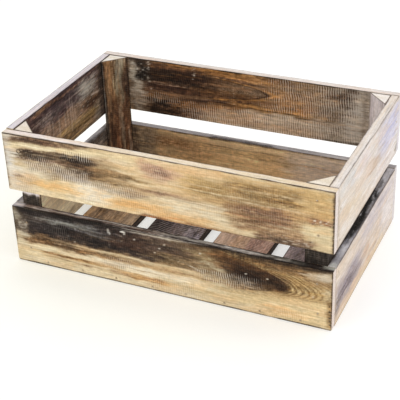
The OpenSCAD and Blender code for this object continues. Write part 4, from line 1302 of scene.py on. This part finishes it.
board("left_upper_slat", "slat_left_upper", (235, 76, 10),
      lambda s, h, t: (t - 200, s - 117.5, UZ + h), SIDE_UP,
      {"out": plain(35, "#cdb184", 0.6), "in": left_upper_in, "top": top_edge("left"), "bottom": bottom_edge, "ends": end_grain()}, 15, step=SHORT)
board("left_lower_slat", "slat_left_lower", (235, 77, 10),
      lambda s, h, t: (t - 200, s - 117.5, h), SIDE_LOW,
      {"out": plain(36, "#d0b68b", 0.5), "in": left_lower_in, "top": top_edge("grey"), "bottom": bottom_edge, "ends": end_grain()}, 16, step=SHORT)
board("right_upper_slat", "slat_right_upper", (235, 76, 10),
      lambda s, h, t: (200 - t, s - 117.5, UZ + h), SIDE_UP,
      {"out": right_upper, "in": plain(37, "#b89b72", 0.5, 1.4), "top": top_edge("right"), "bottom": bottom_edge, "ends": end_grain("#d8cec9", "#a99a90", 0.3)},
      17, arris=0.6, step=SHORT, uv_out=lambda s, h, t: (s + 10, 76 - h))
board("right_lower_slat", "slat_right_lower", (235, 77, 10),
      lambda s, h, t: (200 - t, s - 117.5, h), SIDE_LOW,
      {"out": right_lower, "in": plain(38, "#b2956b", 0.6, 1.4), "top": right_lower_top, "bottom": bottom_edge, "ends": end_grain("#d3c9c4", "#a99a90", 0.3)},
      18, arris=0.6, step=SHORT, uv_out=lambda s, h, t: (s + 10, 77 - h))

for k, x in enumerate(BASE_X):
    board("base_slat_%d_board" % (k + 1), "base_slat_%d" % (k + 1), (235, 72, 9.7),
          lambda s, h, t, x=x: (x - 36 + h, s - 117.5, 9.7 - t), [],
          {"out": base_top(k + 1), "in": plain(40 + k, "#c2a67c", 0.4), "top": dark_side, "bottom": dark_side, "ends": end_grain()},
          21 + k, step=FLAT, uv_out=lambda s, h, t: (s, h), uv_in=lambda s, h, t: (s, h), pitch=(1.0, 0.7, 0.85, 0.85)[k])


def post(name, node, sx, sy, top, tones, seed):
    """A corner post: a right-angled triangle in section, its square corner in
    the crate's corner. Two legs lie on the slats, the wide face looks inwards."""
    p, ix, iy, z0 = 26.0, 190.0, 117.5, 9.7
    gap = 0.35
    # outline in (a, b): a along X inwards, b along Y inwards
    pts = [(gap, gap), (p, gap), (p, 0.8 + gap), (0.8 + gap, p), (gap, p)]
    rad = [0.6, 0.5, 0.9, 0.9, 0.5]
    ring = []
    tag = []
    n = len(pts)
    for i in range(n):
        p0, p1, p2 = (np.array(pts[(i + k) % n], float) for k in (-1, 0, 1))
        d0, d1 = (p0 - p1) / np.linalg.norm(p0 - p1), (p2 - p1) / np.linalg.norm(p2 - p1)
        rr = rad[i]
        ring.append(p1 + d0 * rr * 0.8)
        ring.append(p1 + (d0 + d1) * rr * 0.22)
        ring.append(p1 + d1 * rr * 0.8)
        a, b = p1 + d1 * rr * 0.8, p2 + (p1 - p2) / np.linalg.norm(p1 - p2) * rad[(i + 1) % n] * 0.8
        m = max(1, int(np.linalg.norm(b - a) / 1.3))
        for q in range(1, m):
            ring.append(a + (b - a) * q / m)
    ring = np.array(ring)
    per = np.r_[0, np.cumsum(np.linalg.norm(np.diff(np.r_[ring, ring[:1]], axis=0), axis=1))]
    total = per[-1]
    per = per[:-1]
    M = len(ring)
    zs = np.r_[0, 0.35, 0.8, 1.4, np.linspace(2.4, top - z0 - 2.4, 105), top - z0 - 1.4, top - z0 - 0.8, top - z0 - 0.35, top - z0]
    nz = len(zs)
    centre = np.array([p * 0.31, p * 0.31])
    V, U2, Z2, CAP = [], [], [], []
    for z in zs:
        dz = min(z, zs[-1] - z)
        rr = 0.8
        inset = rr - math.sqrt(max(rr * rr - max(rr - dz, 0) ** 2, 0)) if dz < rr else 0.0
        d = ring - centre
        ln = np.linalg.norm(d, axis=1)[:, None]
        rag = 0.5 * fbm(per / 5, np.full(M, z / 22), seed, 3)
        face = (np.abs(ring.sum(1) - (p + 0.8 + gap)) < 1.0) * rag * 0.6
        q = centre + d / ln * (ln - inset - face[:, None])
        V.append(np.c_[q, np.full(M, z)])
    V = np.concatenate(V)
    faces = []
    for i in range(nz - 1):
        for j in range(M):
            a, b = i * M + j, i * M + (j + 1) % M
            faces.append((a, b, b + M, a + M))
    extra, capinfo = [], []
    count = len(V)
    for which, base in ((1, (nz - 1) * M), (0, 0)):
        prev = np.arange(base, base + M)
        zz = zs[-1] if which else 0.0
        rim = V[base:base + M, :2]
        for kf in (0.93, 0.85, 0.72, 0.56, 0.38, 0.18):
            new = centre + (rim - centre) * kf
            ids = np.arange(count, count + M)
            zoff = -0.25 * fbm(new[:, 0] / 4, new[:, 1] / 4, seed + 8, 2) if which else 0.0
            extra.append(np.c_[new, np.full(M, zz) + zoff])
            for j in range(M):
                a, b, c, d = prev[j], prev[(j + 1) % M], ids[(j + 1) % M], ids[j]
                faces.append((a, b, c, d) if which else (d, c, b, a))
            prev = ids
            count += M
        extra.append(np.array([[centre[0], centre[1], zz - (0.1 if which else 0)]]))
        for j in range(M):
            a, b = prev[j], prev[(j + 1) % M]
            faces.append((a, b, count, count) if which else (b, a, count, count))
        count += 1
    V = np.concatenate([V] + extra)
    nside = nz * M
    u = V[:, 2]
    v = np.r_[np.tile(per, nz), np.zeros(len(V) - nside)]
    f = Face(u, v, seed * 7, tones["base"])
    # which flank a vertex lies on, by its place in the section
    flank_x = (V[:, 1] < 1.2)      # lies on the long wall
    flank_y = (V[:, 0] < 1.2)      # lies on the end wall
    for row in tones["rows"]:
        f.st(*row[:6], **(row[6] if len(row) > 6 else {}))
    f.over((flank_x | flank_y).astype(float), tones["flank"], 0.75)
    for row in tones.get("flank_rows", []):
        w = f.shape(*row[2:6], **(row[6] if len(row) > 6 else {})) * (flank_x | flank_y)
        f.over(w, row[0], row[1])
    # painted shade: a near-black strip on each flank along the post's inner edge stands for the shadow beside that
    # edge
    f.over(ss((np.maximum(V[:, 0], V[:, 1]) - p + 2.0) / 0.8) * (flank_x | flank_y), "#120e0c", 0.85)
    f.streaks(seed * 3, 60, 0, 165, 24, 66, tones["lines"], a=(0.3, 0.7), ln=(14, 70), th=(0.5, 1.2))
    f.settle((tones["base"], tones["lines"][0]), hue=0.25, grain=0.24, dust=0.4)
    cap = np.arange(len(V)) >= nside
    capw = (V[:, 2] > top - z0 - 0.75).astype(float)
    cf = Face(V[:, 0] + 40, V[:, 1], seed * 5, tones["cap"])
    cf.st(tones["cap2"], 0.5, 30, 80, 6, 12, fv=5, rag=0.6)
    edge = np.min([np.abs(V[:, 0] - gap), np.abs(V[:, 1] - gap), np.abs(V[:, 0] + V[:, 1] - (p + 0.8 + gap)) / 1.414], axis=0)
    cf.over(ss(1.3 - edge / 1.1), tones["rim"], 0.8)
    cf.settle(("#f4efe9", tones["cap2"]), hue=0.25, grain=0.08, dust=0.0)
    w = capw[:, None]
    # the post's gain is painted light: its sides are painted brighter to make up for the shade inside the crate
    tint = to_lin(np.clip(f.c, 0, 1)) * tones["gain"] * (1 - w) + to_lin(np.clip(cf.c, 0, 1)) * w
    saw = np.full(len(V), tones.get("saw", 0.1)) * (1 - capw)
    marks = np.c_[saw, np.full(len(V), tones.get("wash", 0.2)) * (1 - capw), 0.5 * capw]
    rings_ = np.c_[v / 3.4 + 0.7 * f.m, np.full(len(V), 0.45) * (1 - capw), np.zeros(len(V))]
    place = np.c_[V[:, 2] + seed * 137.0, V[:, 0] - V[:, 1] + seed * 61, V[:, 0] + V[:, 1] + seed * 29]
    world = np.c_[sx * (ix - V[:, 0]), sy * (iy - V[:, 1]), z0 + V[:, 2]]
    faces = [tuple(dict.fromkeys(q)) for q in faces]
    if sx * sy < 0:
        faces = [q[::-1] for q in faces]
    mesh = bpy.data.meshes.new(name)
    mesh.from_pydata((world * MM).tolist(), [], faces)
    mesh.polygons.foreach_set("use_smooth", np.ones(len(mesh.polygons), bool))
    a = mesh.attributes.new("wood_tint", "FLOAT_COLOR", "POINT")
    a.data.foreach_set("color", np.c_[np.clip(tint, 0, 0.93), np.ones(len(V))].astype(np.float32).ravel())
    for key, val in (("wood_place", place), ("wood_marks", marks), ("wood_rings", rings_)):
        a = mesh.attributes.new(key, "FLOAT_VECTOR", "POINT")
        a.data.foreach_set("vector", val.astype(np.float32).ravel())
    mesh.materials.append(WOOD)
    mesh.update()
    obj = bpy.data.objects.new(name, mesh)
    bpy.context.scene.collection.objects.link(obj)
    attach(obj, "root")
    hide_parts(node)
    return obj


# rows: u = height above the post's foot, v = round the outline (wide face about 27 to 63)
# painted light: gain in each post's tones brightens its sides against the shade inside the crate
post("back_left_post", "post_back_left", -1, 1, 174.4, dict(
    base="#644731", cap="#ece6dc", cap2="#ddccb4", rim="#4a382b", flank="#3a2d23", wash=0.4, saw=0.1, gain=1.5,
    lines=["#8f6c48", "#2c1e15", "#8d8570", "#4f3625", "#a08060"],
    # the wide face: low v lies on the right as seen from the front
    rows=[("#8a6a48", 0.85, 84, 176, 44, 62, dict(fu=30, fv=6, rag=0.6)), ("#8b8872", 0.85, 112, 176, 30, 46, dict(fu=20, fv=6, rag=0.7)),
          ("#9c978a", 0.5, 130, 172, 34, 44, dict(fu=16, fv=5, rag=0.8)),
          ("#33231a", 0.92, 96, 146, 27, 35, dict(fu=14, fv=4, rag=0.5)), ("#4e3322", 0.85, -5, 100, 30, 62, dict(fu=30, fv=8, rag=0.5)),
          ("#7a5236", 0.5, 20, 100, 46, 51, dict(fu=24, fv=4, rag=0.7)), ("#8d7f6c", 0.8, 30, 112, 37.5, 42, dict(fu=20, fv=3, rag=0.6)),
          ("#2a1c14", 0.85, 40, 100, 52, 57, dict(fu=24, fv=4, rag=0.6)), ("#a8a092", 0.7, -5, 50, 28, 32, dict(fu=20, fv=3, rag=0.6)),
          ("#1c1510", 0.95, -5, 170, 24, 28.0, dict(fu=10, fv=2, rag=0.3)), ("#1d1611", 0.95, -5, 170, 59.5, 68, dict(fu=10, fv=2, rag=0.3)),
          ("#74726a", 0.7, 60, 170, 61.2, 62.2, dict(fu=20, fv=1.0, rag=0.4))]), 51)
post("back_right_post", "post_back_right", 1, 1, 174.4, dict(
    base="#b9b0b2", cap="#f3ebe4", cap2="#e9dccc", rim="#54443a", flank="#51443a", wash=0.3, saw=0.05, gain=1.5,
    lines=["#d0c9c4", "#8b8078", "#9f958c", "#c4b7aa"],
    rows=[("#bab1b2", 0.8, 90, 170, 28, 60, dict(fu=30, fv=8)), ("#8f8480", 0.6, 0, 100, 26, 62, dict(fu=40, fv=8)),
          ("#7a6c60", 0.7, -5, 170, 26, 30, dict(fu=10, fv=3)), ("#c8c1c4", 0.6, 30, 160, 40, 48, dict(fu=20, fv=6))]), 52)
post("front_left_post", "post_front_left", -1, -1, 173.9, dict(
    base="#6d5b4b", cap="#efe4d6", cap2="#dccbb0", rim="#3c3027", flank="#59504a", wash=0.25, saw=0.1, gain=1.4,
    lines=["#8c7358", "#3a2b20", "#a08a6c"],
    flank_rows=[("#e6dfe2", 0.95, 80, 96, -5, 200, dict(fu=2, fv=3, rag=0.2)), ("#2c2621", 0.9, 66, 79, -5, 200, dict(fu=3, fv=3, rag=0.4))],
    rows=[("#4b3b30", 0.8, 0, 170, 30, 50, dict(fu=30, fv=8))]), 53)
post("front_right_post", "post_front_right", 1, -1, 173.9, dict(
    base="#6f5f52", cap="#f1e6d6", cap2="#e0cfb2", rim="#3c3027", flank="#3f3833", wash=0.25, saw=0.1, gain=1.2,
    lines=["#8c7358", "#3a2b20", "#a08a6c"],
    flank_rows=[("#27221e", 0.8, 66, 90, -5, 200, dict(fu=4, fv=3, rag=0.3))],
    rows=[("#4b3b30", 0.8, 0, 170, 30, 50, dict(fu=30, fv=8))]), 54)

for name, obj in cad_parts.items():
    if name.startswith("nails_"):
        obj.data.materials.clear()
        obj.data.materials.append(STEEL)


# ---------------------------------------------------------------- floor and light
def make_floor():
    mesh = bpy.data.meshes.new("floor")
    s = 6.0
    mesh.from_pydata([(-s, -s, 0), (s, -s, 0), (s, s, 0), (-s, s, 0)], [], [(0, 1, 2, 3)])
    floor = bpy.data.objects.new("floor", mesh)
    bpy.context.scene.collection.objects.link(floor)
    mat = bpy.data.materials.new("pale_floor")
    mat.use_nodes = True
    b = mat.node_tree.nodes["Principled BSDF"]
    b.inputs["Base Color"].default_value = (0.72, 0.715, 0.69, 1)
    b.inputs["Roughness"].default_value = 0.9
    b.inputs["Specular IOR Level"].default_value = 0.1
    b.inputs["Emission Strength"].default_value = 0.38
    # warmer in front and on the left, whiter behind and on the right; the warm glow in front is painted shade, a
    # faint warm shadow in front of the crate
    nt = mat.node_tree
    tc = nt.nodes.new("ShaderNodeTexCoord")
    se = nt.nodes.new("ShaderNodeSeparateXYZ")
    nt.links.new(tc.outputs["Object"], se.inputs[0])
    way = nt.nodes.new("ShaderNodeMath")
    way.operation = "MULTIPLY_ADD"
    way.inputs[1].default_value = 0.8
    nt.links.new(se.outputs[1], way.inputs[0])
    nt.links.new(se.outputs[0], way.inputs[2])
    mr = nt.nodes.new("ShaderNodeMapRange")
    mr.inputs["From Min"].default_value = -0.25
    mr.inputs["From Max"].default_value = 0.2
    nt.links.new(way.outputs[0], mr.inputs["Value"])
    mx = nt.nodes.new("ShaderNodeMix")
    mx.data_type = "RGBA"
    mx.inputs["A"].default_value = (0.98, 0.985, 0.89, 1)
    mx.inputs["B"].default_value = (0.97, 0.99, 1.04, 1)
    nt.links.new(mr.outputs["Result"], mx.inputs["Factor"])
    nt.links.new(mx.outputs["Result"], b.inputs["Emission Color"])
    mesh.materials.append(mat)


def area(name, where, size, power, colour=(1, 1, 1), aim=(0, 0, 0.1)):
    data = bpy.data.lights.new(name, "AREA")
    data.shape = "DISK"
    data.size = size
    data.energy = power
    data.color = colour
    obj = bpy.data.objects.new(name, data)
    obj.location = where
    obj.rotation_mode = "QUATERNION"
    obj.rotation_quaternion = (Vector(aim) - Vector(where)).to_track_quat("-Z", "Y")
    bpy.context.scene.collection.objects.link(obj)


make_floor()
world = bpy.data.worlds.new("soft_room")
bpy.context.scene.world = world
world.use_nodes = True
bg = world.node_tree.nodes["Background"]
bg.inputs["Color"].default_value = (1.0, 1.0, 1.0, 1)
bg.inputs["Strength"].default_value = 0.78
area("key_right", (1.9, 0.35, 1.25), 1.6, 9, (1.0, 0.99, 1.0))
area("top_back", (0.1, 0.4, 2.0), 1.8, 6)
area("fill_front", (-0.9, -2.0, 1.1), 1.8, 11, (1.0, 0.99, 0.97))

view = bpy.context.scene.view_settings
view.view_transform = "Standard"
view.look = "None"
view.exposure = 0.0
view.gamma = 1.0
